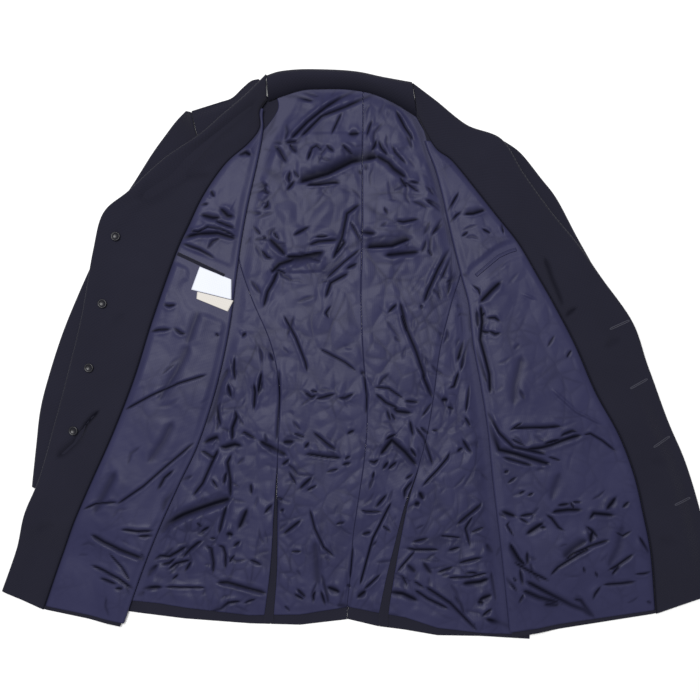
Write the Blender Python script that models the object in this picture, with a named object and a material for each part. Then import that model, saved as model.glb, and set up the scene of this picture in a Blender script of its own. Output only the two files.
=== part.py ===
"""Dress jacket of dark navy wool, laid open on its back with the satin lining up.

Sizes are in millimetres until metres() turns them into Blender's units. X runs across the
jacket, +Y from the hem to the collar, and +Z up from the surface that it lies on. Right and
left are the wearer's, so the right side is at -X. The origin is the middle of the outline,
on the surface.
"""
import math
from typing import NamedTuple

import bmesh
import bpy
from mathutils import Vector

MM = 0.001

# Cloth thickness. Each wall stands for the cloth with its canvas or interlining.
BACK_WOOL = 2.0
FRONT_WOOL = 1.8
FACING_WOOL = 1.8
SLEEVE_WOOL = 2.6
COLLAR_WOOL = 2.5
SATIN = 1.0

# Clearances
SEAM_GAP = 0.3          # between two pieces that meet at a seam
LAYER_GAP = 0.4         # between a piece and the one that it lies on
TRIM_GAP = 0.5          # under a label or a pocket mouth
BUTTON_SHANK = 0.6      # thread under the back of a button

# How the layers lie
FOLD_ROLL = 3.2         # outer radius where a front turns under beside the back
FOLD_TURN = 16.0        # how far the front lining runs back under itself
FRONT_RISE = 38.0       # width over which a front climbs from the back on to the sleeve
EDGE_SLOPE = 26.0       # width over which a front changes height near its edge
COLLAR_ROLL = 8.0       # outer radius of the collar's roll
COLLAR_TURN = 12.0      # how far the collar runs back under itself
COLLAR_SEAT = 5.4       # height of the middle of the collar's cloth at the neck seam
SHOULDER_TOP = 8.2      # height of the shoulder under the lapel
SHOULDER_DROP = 15.0    # width over which the shoulder falls to the back
LINING_PUFF = 2.2       # fullness of the lining over the wool of the back
FRONT_PUFF = 1.6        # the same on the fronts
HIDDEN_LINING = 22.0    # the strip of back lining that a front covers
LINING_FADE = 22.0      # width over which the lining's folds die out at a seam
FRONT_LINING_HEM = 9.0  # the front lining ends this far above the hem
LINING_SEAT = BACK_WOOL + LAYER_GAP + SATIN  # top of the lining where it lies flat
COLLAR_COVER = 5.0      # the strip of lining under the collar's seam
NECK_REACH = 0.25       # share of the back's length over which the neck's curve dies out
HEM_SHARE = 0.3         # how much of its fullness the back lining keeps at its hem
HIDDEN_SHARE = 0.4      # the most of a side lining's width that its hidden strip takes
FOLD_END = 0.15         # share of a fold's length over which each end runs out
SLOPE_REACH = 0.75      # the most of a facing's width that its slope may take
LEAST_LINING = 1.5      # the least width of wool inside the facing seam
WOOL_END = 0.6          # the wool stops this far short of the middle of each roll
LINING_START = 0.8      # row of a front where its lining begins, below the collar
HEAD_FLAT = 1.0         # row of a front above which its lining has no folds
HEAD_FADE = 1.5         # rows over which they come in
HEM_FADE = 0.5          # rows over which they go out at the hem
VENT_WIDTH = 13.0       # width of a vent at the hem
VENT_START = 0.9        # rows below the vent's top where its facing is wide enough to make
VENT_HEM = 2.0          # a vent's facing ends this far above the hem
VENT_CLOTH = 1.6

# How finely the pieces are cut
FRONT_ROWS = 25
LINING_COLUMNS = 8
BACK_ROWS = 40
VENT_ROWS = 6
COLLAR_ROWS = 17
COLLAR_COLUMNS = 4
COLLAR_STEPS = 6
SHOULDER_ROWS = 13
SHOULDER_COLUMNS = 6
SLEEVE_ROWS = 14
SLEEVE_COLUMNS = 3
SLEEVE_STEPS = 4
ROLL_STEPS = 4
UNDER_POINTS = 3
WELT_POINTS = 9
LABEL_ROWS = 3
LABEL_COLUMNS = 5
SEARCH_STEPS = 281
SHARP_ANGLE = 50        # degrees between two faces that meet in a sharp rim

UP = (0, 0, 1)
DOWN = (0, 0, -1)


class Front(NamedTuple):
    """A section across a front: edge, facing seam and the fold beside the back."""
    edge_x: float
    edge_y: float
    seam_x: float
    seam_y: float
    fold_x: float
    fold_y: float
    edge_z: float   # height of the wool's middle at the edge
    rest_z: float   # the same over the sleeve
    fold_z: float   # the same at the fold
    shelf: float    # width beside the fold that stays at the fold's height
    roll: float     # outer radius of the edge's roll
    turn: float     # how far the facing runs back under the roll


FRONT_RIGHT = (
    Front(-132.8, 396.8, -131.6, 362.5, -130.1, 361.8, 13.8, 10, 7, 0, 5, 10),
    Front(-162, 368, -142, 345, -137, 344, 13.8, 10, 7, 0, 5, 12),
    Front(-197, 338, -142, 322, -137, 320, 13.8, 10, 7, 0, 5, 24),
    Front(-228, 311, -158, 300, -141, 294, 13.8, 10, 7, 0, 5, 36),
    Front(-278, 277, -191, 270, -148, 261, 13.8, 10, 7, 0, 5, 44),
    Front(-327, 232, -221, 227, -158, 217, 13.8, 10, 7, 0, 5, 38),
    Front(-363, 201, -242, 184, -167, 169, 12.8, 10, 7, 0, 4, 20),
    Front(-378, 147, -261, 142, -174, 121, 11.9, 10, 7, 0, 3.1, 6),
    Front(-394, 55, -294, 49, -185, 38, 11.9, 10, 7, 0, 3.1, 5),
    Front(-414, -28, -320, -34, -204, -48, 11.9, 10, 7, 0, 3.1, 5),
    Front(-435, -108, -351, -114, -230, -128, 11.9, 10, 7, 0, 3.1, 5),
    Front(-455, -177, -380, -179, -257, -185, 11.9, 10, 7, 0, 3.1, 5),
    Front(-475, -225, -403, -232, -285, -247, 11.9, 10, 7, 6, 3.1, 5),
    Front(-490, -280, -425, -288, -308, -305, 3.1, 0.9, 7, 26, 3.1, 5),
    Front(-510, -337, -451, -364, -337, -388, 3.1, 0.9, 7, 14, 3.1, 5),
)

FRONT_LEFT = (
    Front(75.8, 386.1, 82.9, 339.6, 82.2, 338.2, 7.4, 7, 7, 0, 5, 12),
    Front(109, 361, 107, 295, 95, 295, 7.4, 7, 7, 0, 5, 20),
    Front(152, 327, 132, 275, 107, 264, 7.4, 7, 7, 0, 5, 30),
    Front(201, 305, 164, 235, 117, 227, 13.8, 10, 7, 0, 5, 36),
    Front(232, 257, 194, 197, 124, 195, 13.8, 10, 7, 0, 5, 40),
    Front(270, 204, 225, 158, 134, 152, 13.8, 10, 7, 0, 5, 34),
    Front(310, 155, 251, 114, 145, 109, 13.8, 10, 7, 0, 5, 26),
    Front(344, 107, 274, 74, 155, 71, 12.8, 10, 7, 0, 4, 12),
    Front(387, 46, 305, 15, 161, 16, 11.9, 10, 7, 0, 3.1, 5),
    Front(411, -19, 335, -54, 172, -44, 8.0, 10, 7, 0, 3.1, 5),
    Front(441, -97, 368, -114, 182, -108, 3.1, 10, 7, 0, 3.1, 5),
    Front(464, -151, 390, -172, 188, -168, 3.1, 10, 7, 20, 3.1, 5),
    Front(483, -212, 403, -228, 194, -220, 3.1, 10, 7, 34, 3.1, 5),
    Front(497, -272, 413, -280, 201, -277, 3.1, 10, 7, 40, 3.1, 5),
    Front(510, -340, 423, -370, 214, -403, 3.1, 0.9, 7, 34, 3.1, 5),
)


class Sleeve(NamedTuple):
    """A section across a sleeve that lies flat, from its outer to its inner edge."""
    outer_x: float
    outer_y: float
    inner_x: float
    inner_y: float
    height: float


SLEEVE_RIGHT = (
    Sleeve(-248, 347, -239, 345, 6.2),
    Sleeve(-262, 332, -234, 321, 7.5),
    Sleeve(-277, 312, -224, 288, 8.4),
    Sleeve(-295, 287, -212, 245, 8.4),
    Sleeve(-317, 252, -208, 204, 8.4),
    Sleeve(-345, 207, -211, 158, 8.4),
    Sleeve(-373, 147, -218, 99, 8.4),
    Sleeve(-398, 92, -228, 42, 8.4),
    Sleeve(-423, 31, -244, -15, 8.4),
    Sleeve(-443, -31, -261, -72, 8.4),
    Sleeve(-455, -79, -280, -122, 8.4),
    Sleeve(-461, -131, -305, -179, 8.4),
    Sleeve(-467, -188, -342, -237, 8.4),
)

SLEEVE_LEFT = (
    Sleeve(207, 304, 188, 291, 6.2),
    Sleeve(230, 287, 178, 260, 7.5),
    Sleeve(258, 252, 181, 218, 8.4),
    Sleeve(281, 222, 185, 175, 8.4),
    Sleeve(308, 171, 194, 121, 8.4),
    Sleeve(328, 135, 201, 78, 8.4),
    Sleeve(344, 104, 209, 35, 8.4),
    Sleeve(363, 42, 221, -22, 8.4),
    Sleeve(380, -22, 237, -79, 8.4),
    Sleeve(397, -87, 255, -137, 8.4),
    Sleeve(414, -148, 274, -194, 8.4),
    Sleeve(427, -208, 295, -247, 8.4),
)


class Collar(NamedTuple):
    """A section across the collar, from its roll to the neck seam."""
    outer_x: float
    outer_y: float
    inner_x: float
    inner_y: float


COLLAR = (
    Collar(-130.8, 397.1, -128.7, 361.1),
    Collar(-113.7, 402.5, -109.4, 368.2),
    Collar(-85.1, 405.4, -80.8, 376.8),
    Collar(-53.6, 405.4, -52.2, 378.2),
    Collar(-20.7, 404.0, -23.6, 378.2),
    Collar(3.6, 401.1, 0.7, 375.4),
    Collar(29.3, 395.4, 23.6, 369.7),
    Collar(52.2, 391.1, 49.3, 358.2),
    Collar(72.9, 387.4, 79.4, 339.6),
)


class Shoulder(NamedTuple):
    """A section across the shoulder, from its outline to under the lapel."""
    outer_x: float
    outer_y: float
    inner_x: float
    inner_y: float


SHOULDER_RIGHT = (
    Shoulder(-238.5, 347.5, -227, 303),
    Shoulder(-218, 354, -197, 317),
    Shoulder(-199, 360, -174, 334),
    Shoulder(-182, 366, -157, 348),
    Shoulder(-167, 380, -145, 363),
    Shoulder(-155, 390, -138, 375),
    Shoulder(-144, 393, -135, 383),
)


class Back(NamedTuple):
    """A level of the back: the lining's hidden sides and its three seams."""
    y: float
    side_right: float
    seam_right: float
    centre: float
    seam_left: float
    side_left: float


BACK = (
    Back(368, -119, -119, 5, 80, 80),
    Back(347, -117, -117, 5, 100, 100),
    Back(321, -139, -139, 5, 113, 113),
    Back(285, -158, -158, 4, 126, 126),
    Back(235, -169, -169, 4, 136, 136),
    Back(185, -181, -178, 4, 145, 145),
    Back(132, -189, -172, 3, 147, 157),
    Back(78, -197, -154, 2, 131, 169),
    Back(14, -209, -127, 4, 115, 179),
    Back(-44, -224, -115, 8, 107, 188),
    Back(-101, -242, -115, 11, 98, 197),
    Back(-158, -265, -117, 7, 84, 204),
    Back(-215, -290, -119, -1, 65, 209),
    Back(-272, -308, -120, -9, 51, 217),
    Back(-322, -325, -122, -12, 39, 222),
    Back(-377, -340, -127, -18, 28, 228),
)
VENT_TOP = 11           # the row of BACK where the vents open
ARMHOLE_FOOT = 5        # the row of BACK where the side seams leave the armholes
SIDE_START = 5.6        # place in BACK where a side lining begins, under the front


class Panel(NamedTuple):
    """A panel of the back lining, between two columns of BACK."""
    node: str
    first: float        # the place in BACK where it begins
    low: str
    low_open: float     # share of the vent that it leaves open at its low side
    high: str
    high_open: float
    columns: int


BACK_PANELS = (
    Panel("lining_back_right", 0, "seam_right", 0.35, "centre", 0, 11),
    Panel("lining_back_left", 0, "centre", 0, "seam_left", 0, 9),
    Panel("lining_side_right", SIDE_START, "side_right", 0, "seam_right", 0.65, 7),
    Panel("lining_side_left", SIDE_START, "seam_left", 1, "side_left", 0, 8),
)


class Vent(NamedTuple):
    """A vent at a column of BACK, with its shares to each side of the seam."""
    node: str
    column: str
    low: float
    high: float


VENTS = (
    Vent("vent_facing_right", "seam_right", 0.65, 0.35),
    Vent("vent_facing_left", "seam_left", 0, 1),
)

# The neckline under the collar, and the hem of the wool and of the lining: x, y
NECK = ((-131, 363), (-114, 371), (-85, 381), (-28, 381), (15, 377), (58, 357), (81, 330), (115, 307))
WOOL_HEM = ((-348, -364), (-314, -369), (-250, -377), (-157, -384), (-85, -386), (-16, -378),
            (26, -388), (65, -393), (111, -401), (172, -402), (240, -406))
LINING_HEM = ((-348, -350), (-314, -352), (-285, -355), (-250, -361), (-157, -372), (-85, -371),
              (-16, -360), (26, -368), (65, -375), (111, -390), (172, -397), (240, -400))

# The wool of the back beyond its seams: shoulder and neckline, then the armhole down the side
SHOULDER_LINE_RIGHT = ((-234, 347), (-199, 359), (-182, 364), (-167, 377), (-155, 388),
                       (-139, 390), (-134, 368), (-99, 374), (-59, 375), (-28, 375))
SHOULDER_LINE_LEFT = ((15, 374), (58, 355), (75, 337), (80, 377), (109, 356), (152, 322), (180, 300))
ARMHOLE_RIGHT = ((-206, 144), (-203, 204), (-206, 245), (-217, 284), (-228, 318))
ARMHOLE_LEFT = ((188, 121), (179, 175), (175, 218), (172, 262), (180, 290))
SIDE_RIGHT = ((-213, 99), (-222, 42), (-238, -15), (-255, -72), (-274, -122), (-299, -179),
              (-330, -237), (-338, -300), (-348, -364))
SIDE_LEFT = ((186, 84), (196, 78), (203, 35), (215, -22), (231, -79), (243, -137), (243, -250), (243, -406))


class Fold(NamedTuple):
    """A soft ridge, or with a negative height a trough, between two places on the cloth."""
    x0: float
    y0: float
    x1: float
    y1: float
    bow: float      # how far its middle bends aside
    width: float    # half its width
    height: float


BACK_FOLDS = (
    Fold(-99, 307, -28, 360, 0, 8, -4),
    Fold(-89, 290, -21, 338, 0, 10, 4),
    Fold(-85, 244, 12, 278, -4, 11, -4),
    Fold(-85, 264, 9, 298, -4, 10, 4),
    Fold(-89, 222, 18, 255, -4, 11, 3),
    Fold(-121, 300, -81, 275, 0, 6, -3),
    Fold(26, 307, 84, 232, 3, 8, -4),
    Fold(44, 318, 98, 250, 3, 10, 4),
    Fold(-14, 350, 18, 292, 0, 10, 3),
    Fold(-134, 169, -102, 137, 0, 7, -4),
    Fold(-102, 137, -48, 148, 0, 7, -4),
    Fold(-124, 132, -132, 75, 0, 10, 4),
    Fold(-82, 167, -21, 178, 0, 9, 3),
    Fold(1, 221, -36, 135, 5, 8, -4),
    Fold(19, 214, -14, 132, 4, 10, 4),
    Fold(-21, 228, -54, 149, 4, 10, 3),
    Fold(-2, 175, 75, 164, -6, 7, -3),
    Fold(1, 191, 79, 181, -5, 9, 3),
    Fold(29, 124, 94, 127, 0, 9, 3),
    Fold(-49, 89, 1, 152, 0, 7, -4),
    Fold(-31, 75, 15, 132, 0, 10, 4),
    Fold(129, 154, 89, 71, -3, 8, -4),
    Fold(112, 164, 72, 81, -3, 10, 4),
    Fold(56, 89, 75, 14, 0, 8, -4),
    Fold(75, 14, 105, -65, 0, 8, -4),
    Fold(77, 89, 121, -54, 0, 10, 5),
    Fold(41, 61, 81, -59, 0, 10, 4),
    Fold(-108, 56, -74, -25, 0, 7, -4),
    Fold(-89, 61, -54, -19, 0, 10, 4),
    Fold(-124, 52, -95, -34, 0, 9, 4),
    Fold(-61, 9, 1, -25, 0, 7, -3),
    Fold(-55, 28, 5, -2, 0, 9, 4),
    Fold(-85, -54, -4, -55, 3, 7, -4),
    Fold(-85, -36, -4, -32, 0, 9, 3),
    Fold(-88, -74, -6, -77, 0, 10, 4),
    Fold(26, -31, 75, -45, 0, 8, 3),
    Fold(22, -44, 65, -61, 0, 6, -3),
    Fold(26, -144, 48, -122, 0, 7, -3),
    Fold(48, -122, 77, -158, 0, 7, -3),
    Fold(18, -122, 55, -99, 0, 9, 4),
    Fold(-81, -125, -16, -122, 0, 9, 3),
    Fold(-78, -144, -14, -145, 0, 7, -4),
    Fold(-78, -165, -14, -165, 0, 10, 4),
    Fold(-71, -215, -38, -287, 0, 7, -3),
    Fold(-52, -205, -19, -277, 0, 9, 3),
    Fold(-91, -230, -59, -301, 0, 10, 4),
    Fold(-107, -258, -74, -225, 0, 7, -3),
    Fold(88, -187, 129, -137, 0, 8, -4),
    Fold(105, -198, 147, -145, 0, 10, 4),
    Fold(71, -168, 112, -119, 0, 10, 4),
    Fold(79, -322, 168, -393, -4, 8, -4),
    Fold(98, -311, 184, -373, -4, 10, 4),
    Fold(58, -340, 127, -391, 0, 9, 3),
    Fold(87, -272, 151, -272, 0, 7, -3),
    Fold(84, -255, 152, -254, 0, 9, 4),
    Fold(94, -294, 175, -291, 0, 10, 4),
    Fold(-188, -51, -194, -237, 0, 6, 4),
    Fold(-175, -51, -179, -251, 0, 5, -4),
    Fold(-162, -58, -167, -251, 0, 6, 4),
    Fold(-137, -65, -139, -237, 0, 6, 4),
    Fold(-225, -122, -139, -127, 0, 6, -3),
    Fold(-217, -265, -278, -315, 0, 8, -4),
    Fold(-197, -277, -260, -334, 0, 9, 4),
    Fold(-207, -308, -135, -322, 0, 8, 4),
    Fold(-202, -325, -132, -341, 0, 7, -3),
    Fold(137, 92, 127, -36, 0, 9, 4),
    Fold(148, 78, 147, -65, 0, 6, -3),
    Fold(158, -94, 137, -237, 0, 9, 4),
    Fold(147, -122, 128, -265, 0, 7, -3),
    Fold(175, -208, 158, -351, 0, 9, 4),
    Fold(115, -318, 187, -304, 0, 7, -3),
)

FRONT_LEFT_FOLDS = (
    Fold(179, -94, 208, -139, 0, 7, -3),
    Fold(208, -139, 265, -154, 0, 7, -3),
    Fold(201, -117, 270, -135, 0, 8, 3),
    Fold(265, -44, 344, -101, -3, 9, 4),
    Fold(212, -108, 287, -104, 0, 6, -3),
    Fold(187, -205, 258, -208, 0, 9, 3),
    Fold(187, -222, 251, -227, 0, 7, -3),
    Fold(265, -222, 291, -252, 0, 6, -3),
    Fold(280, -305, 337, -272, 0, 9, 4),
    Fold(204, -301, 230, -334, 0, 8, -4),
    Fold(230, -334, 327, -377, 0, 8, -4),
    Fold(222, -308, 330, -355, 0, 9, 4),
    Fold(351, -308, 391, -282, 0, 7, -3),
    Fold(332, -377, 401, -358, 0, 7, -3),
    Fold(308, -225, 361, -230, 0, 7, -3),
    Fold(258, -132, 322, -111, 0, 6, -3),
    Fold(230, 35, 265, -94, 0, 12, 3),
    Fold(244, -165, 344, -187, 0, 12, 3),
)

FRONT_RIGHT_FOLDS = (
    Fold(-300, 31, -247, 31, 0, 6, -3),
    Fold(-271, 14, -207, 6, 0, 10, 3),
    Fold(-300, -122, -250, -108, 0, 12, 3),
    Fold(-278, -187, -257, -165, 0, 6, -3),
    Fold(-378, -258, -300, -298, 0, 7, -3),
    Fold(-378, -280, -305, -318, 0, 8, 3),
    Fold(-383, -301, -317, -337, 0, 7, -3),
    Fold(-231, 189, -174, 184, 0, 5, 3),
)

# Small pieces that lie on the front linings and facings: x, y
POCKET_RIGHT = ((-258, 143), (-232, 131), (-192, 112))
POCKET_LEFT = ((165, 112), (179, 124), (197, 139), (212, 146), (222, 149))
POCKET_CLEAR = 14.0     # no fold of the lining comes nearer to a pocket mouth
WELT_WIDTH = 5.0
WELT_CLOTH = 1.2
LABEL_WHITE = ((-227, 124.5), (-190, 107), (-190, 76), (-237, 92))
LABEL_CREAM = ((-230, 88), (-192, 74.5), (-192, 60), (-231, 77))
LABEL_BOX = (-240, -185, 55, 128)  # the lining is flat here: low and high x, low and high y
LABEL_CLOTH = 1.0
LABEL_CLEAR = 12.0      # no fold of the lining comes nearer to a label
BUTTONS = ((-345, 167), (-364, 72), (-383, -19), (-405, -108))
BUTTON_RADIUS = 6.5
BUTTON_HEIGHT = 2.6
BUTTON_DISH = 3.2       # radius of the hollow in its face
BUTTON_SIDES = 16


class Finish(NamedTuple):
    """A cloth's look: linear colour, roughness and metallic value."""
    colour: tuple
    roughness: float
    metallic: float = 0.0


WOOL_FINISH = Finish((0.020, 0.021, 0.034), 0.85)
SATIN_FINISH = Finish((0.046, 0.046, 0.100), 0.38)
WHITE_FINISH = Finish((0.80, 0.82, 0.90), 0.70)
CREAM_FINISH = Finish((0.80, 0.76, 0.70), 0.75)
HORN_FINISH = Finish((0.010, 0.010, 0.014), 0.30)


# ---------------------------------------------------------------- small sums

def clamp(value):
    """Keep a share between 0 and 1."""
    return min(1.0, max(0.0, value))


def ease(value):
    """A share that leaves 0 and reaches 1 softly."""
    share = clamp(value)
    return share * share * (3 - 2 * share)


def mix(low, high, share):
    """The value a share of the way from low to high."""
    return low + (high - low) * share


def smooth(a, b, c, d, share):
    """The smooth curve through four values in a row, a share of the way from b to c."""
    bend = 2 * a - 5 * b + 4 * c - d
    turn = 3 * b - a - 3 * c + d
    return b + 0.5 * share * (c - a + share * (bend + share * turn))


def section(table, place, eased=()):
    """The row of a table at a place between its rows, with the eased columns free of overshoot."""
    last = len(table) - 1
    low = min(int(place), last - 1)
    share = place - low
    rows = [table[min(max(low + step, 0), last)] for step in (-1, 0, 1, 2)]
    values = {}
    for name in table[0]._fields:
        a, b, c, d = (getattr(row, name) for row in rows)
        values[name] = mix(b, c, ease(share)) if name in eased else smooth(a, b, c, d, share)
    return type(table[0])(**values)


def height_at(line, x):
    """The y of a line of points at x."""
    for (x0, y0), (x1, y1) in zip(line, line[1:]):
        if x <= x1:
            return mix(y0, y1, clamp((x - x0) / (x1 - x0)))
    return line[-1][1]


def places(first, last, count):
    """Evenly spaced places from first to last."""
    return [mix(first, last, index / (count - 1)) for index in range(count)]


def point_on(line, place):
    """The point at a place between the points of a line."""
    low = min(int(place), len(line) - 2)
    return tuple(mix(a, b, place - low) for a, b in zip(line[low], line[low + 1]))


def fold_height(fold, x, y):
    """How much a fold lifts the cloth at a place."""
    run_x, run_y = fold.x1 - fold.x0, fold.y1 - fold.y0
    length = math.hypot(run_x, run_y)
    along = ((x - fold.x0) * run_x + (y - fold.y0) * run_y) / length ** 2
    across = ((x - fold.x0) * run_y - (y - fold.y0) * run_x) / length
    ends = ease((along + FOLD_END) / (2 * FOLD_END)) * ease((1 + FOLD_END - along) / (2 * FOLD_END))
    middle = clamp(along)
    aside = (across - 4 * fold.bow * middle * (1 - middle)) / fold.width
    return fold.height * ends * math.exp(-aside * aside)


def folded(folds, x, y, puff):
    """Fullness of the cloth with its folds, never below the layer under it."""
    return max(0.0, puff + sum(fold_height(fold, x, y) for fold in folds))


# ---------------------------------------------------------------- meshes

def metres(point):
    """A point in Blender's units."""
    return Vector(point) * MM


def dress(node, mesh, finish):
    """Put a finished mesh into the scene as a node with its own material."""
    material = bpy.data.materials.new(node)
    material.use_nodes = True
    shader = material.node_tree.nodes["Principled BSDF"]
    shader.inputs["Base Color"].default_value = (*finish.colour, 1.0)
    shader.inputs["Roughness"].default_value = finish.roughness
    shader.inputs["Metallic"].default_value = finish.metallic
    mesh.materials.append(material)
    piece = bpy.data.objects.new(node, mesh)
    bpy.context.scene.collection.objects.link(piece)
    return piece


def finish_mesh(node, bm, finish, soft=True):
    """Close a bmesh off as a node, shaded smooth but for its sharp rims."""
    bmesh.ops.recalc_face_normals(bm, faces=bm.faces)
    mesh = bpy.data.meshes.new(node)
    bm.to_mesh(mesh)
    bm.free()
    if soft:
        mesh.shade_smooth()
        mesh.set_sharp_from_angle(angle=math.radians(SHARP_ANGLE))
    return dress(node, mesh, finish)


def split(start, end):
    """Cut the face that two corners share along the line between them."""
    shared = next(face for face in start.link_faces if end in face.verts[:])
    bmesh.utils.face_split(shared, start, end)


def loft(node, sections, finish):
    """A wall grown through its sections, each a closed ring of points.

    A ring runs along one face of the cloth and back along the other. Both faces are cut into
    triangles along the same diagonals, so cloths that share their sections never cross.
    """
    bm = bmesh.new()
    rings = [[bm.verts.new(metres(point)) for point in sections[0]]]
    cap = bm.faces.new(rings[0])
    for number, ring in enumerate(sections[1:]):
        grown = bmesh.ops.extrude_face_region(bm, geom=[cap])
        if number and cap.is_valid:
            bmesh.ops.delete(bm, geom=[cap], context="FACES_ONLY")
        cap = next(item for item in grown["geom"] if isinstance(item, bmesh.types.BMFace))
        for vert, point in zip(cap.verts, ring):
            vert.co = metres(point)
        rings.append(list(cap.verts))
    columns = len(rings[0]) // 2
    for near, far in zip(rings, rings[1:]):
        for index in range(columns - 1):
            split(near[index], far[index + 1])
            split(near[-1 - index], far[-2 - index])
    for ring in (rings[0], rings[-1]):
        for index in range(1, columns - 1):
            split(ring[index], ring[-1 - index])
    return finish_mesh(node, bm, finish)


def flat_panel(node, outline, low, high, finish):
    """A flat piece of cloth with the given outline."""
    bm = bmesh.new()
    face = bm.faces.new([bm.verts.new(metres((x, y, low))) for x, y in outline])
    grown = bmesh.ops.extrude_face_region(bm, geom=[face])
    top = [item for item in grown["geom"] if isinstance(item, bmesh.types.BMVert)]
    bmesh.ops.translate(bm, verts=top, vec=metres((0, 0, high - low)))
    return finish_mesh(node, bm, finish, soft=False)


def wall_ring(path, cloth):
    """The ring round a stretch of cloth, from the points of its middle and their outward turns."""
    half = cloth / 2
    out = [(x + a * half, y + b * half, z + c * half) for (x, y, z), (a, b, c) in path]
    back = [(x - a * half, y - b * half, z - c * half) for (x, y, z), (a, b, c) in reversed(path)]
    return out + back


# ---------------------------------------------------------------- fronts

FRONT_HEIGHTS = ("edge_z", "rest_z", "fold_z", "shelf", "roll", "turn")


class FrontSection:
    """One section of a front, worked out from its row."""

    def __init__(self, table, place):
        row = section(table, place, FRONT_HEIGHTS)
        self.row = row
        self.edge = (row.edge_x, row.edge_y)
        self.seam = (row.seam_x, row.seam_y)
        self.fold = (row.fold_x, row.fold_y)
        self.facing_width = math.dist(self.edge, self.seam) - row.roll
        self.lining_width = max(math.dist(self.seam, self.fold) - FOLD_ROLL, LEAST_LINING)
        self.outward = self.direction(self.seam, self.edge)
        self.inward = self.direction(self.seam, self.fold)

    @staticmethod
    def direction(start, end):
        """The flat direction from one point to another."""
        length = math.dist(start, end)
        return ((end[0] - start[0]) / length, (end[1] - start[1]) / length)

    def point(self, width):
        """The place at a width from the facing seam, towards the edge or, if negative, the fold."""
        way = self.outward if width >= 0 else self.inward
        return (self.seam[0] + way[0] * abs(width), self.seam[1] + way[1] * abs(width))

    def wool_z(self, width):
        """Height of the middle of the front's wool at a width from the facing seam."""
        row = self.row
        from_fold = width + self.lining_width
        from_edge = self.facing_width - width
        level = mix(row.fold_z, row.rest_z, ease((from_fold - row.shelf) / FRONT_RISE))
        return mix(row.edge_z, level, ease((from_edge - row.turn) / EDGE_SLOPE))

    def facing_widths(self):
        """Where a facing has its points, from the seam to the edge, close where it slopes."""
        width = self.facing_width
        reach = min(self.row.turn + EDGE_SLOPE, width * SLOPE_REACH)
        near = reach * self.row.turn / (self.row.turn + EDGE_SLOPE)
        return [SEAM_GAP / 2, (width - reach) / 2, width - reach, width - (reach + near) / 2,
                width - near, width]

    def lining_widths(self):
        """Where a front lining has its points, from the seam to the fold."""
        return places(-SEAM_GAP / 2, -self.lining_width, LINING_COLUMNS)

    def wool_widths(self):
        """Where the wool under both has its points, from the fold to the edge."""
        inner = places(WOOL_END - self.lining_width, -SEAM_GAP / 2, LINING_COLUMNS)
        return inner + self.facing_widths()[1:-1] + [self.facing_width - WOOL_END]

    def facing_rise(self, width):
        """How far the middle of the facing lies above the middle of the wool."""
        near = ease(1 - (self.facing_width - width) / EDGE_SLOPE)
        return mix(rise_on_wool(FACING_WOOL), self.row.roll - FACING_WOOL / 2, near)

    def lining_rise(self, width):
        """How far the middle of the flat lining lies above the middle of the wool."""
        near = ease(1 - (self.lining_width + width) / EDGE_SLOPE)
        return mix(rise_on_wool(SATIN), FOLD_ROLL - SATIN / 2, near)

    def top_path(self, widths, rise, lift):
        """The middle of a cloth that lies on the wool, at the given widths."""
        path = []
        for width in widths:
            x, y = self.point(width)
            path.append(((x, y, self.wool_z(width) + rise(width) + lift(x, y, width)), UP))
        return path

    def roll_path(self, width, way, radius):
        """Half a turn round the wool's edge, from the top to below."""
        x, y = self.point(width)
        z = self.wool_z(width)
        path = []
        for step in range(1, ROLL_STEPS):
            angle = math.pi * step / ROLL_STEPS
            side, up = math.sin(angle), math.cos(angle)
            place = (x + way[0] * side * radius, y + way[1] * side * radius, z + up * radius)
            path.append((place, (way[0] * side, way[1] * side, up)))
        return path

    def under_path(self, width, inner, radius):
        """The cloth that runs back below the wool between two widths."""
        path = []
        for place in places(width, inner, UNDER_POINTS):
            x, y = self.point(place)
            path.append(((x, y, self.wool_z(place) - radius), DOWN))
        return path


def rise_on_wool(cloth):
    """Height of a cloth's middle above the middle of the front's wool."""
    return FRONT_WOOL / 2 + LAYER_GAP + cloth / 2


def hem_place(table):
    """The place in a front's table where its lining ends, above the hem."""
    last, before = table[-1], table[-2]
    length = math.dist((last.seam_x, last.seam_y), (before.seam_x, before.seam_y))
    return len(table) - 1 - FRONT_LINING_HEM / length


def front_rows(table):
    """The places down a front at which all its layers have a section."""
    return sorted({*places(0, len(table) - 1, FRONT_ROWS), LINING_START, hem_place(table)})


def build_facing(node, table, finish):
    """The strip of wool inside a front edge, turned under round the lapel's roll."""
    rings = []
    for place in front_rows(table):
        cut = FrontSection(table, place)
        radius = cut.row.roll - FACING_WOOL / 2
        width = cut.facing_width
        path = cut.top_path(cut.facing_widths(), cut.facing_rise, lambda x, y, at: 0.0)
        path += cut.roll_path(width, cut.outward, radius)
        path += cut.under_path(width, width - cut.row.turn, radius)
        rings.append(wall_ring(path, FACING_WOOL))
    return loft(node, rings, finish)


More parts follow.
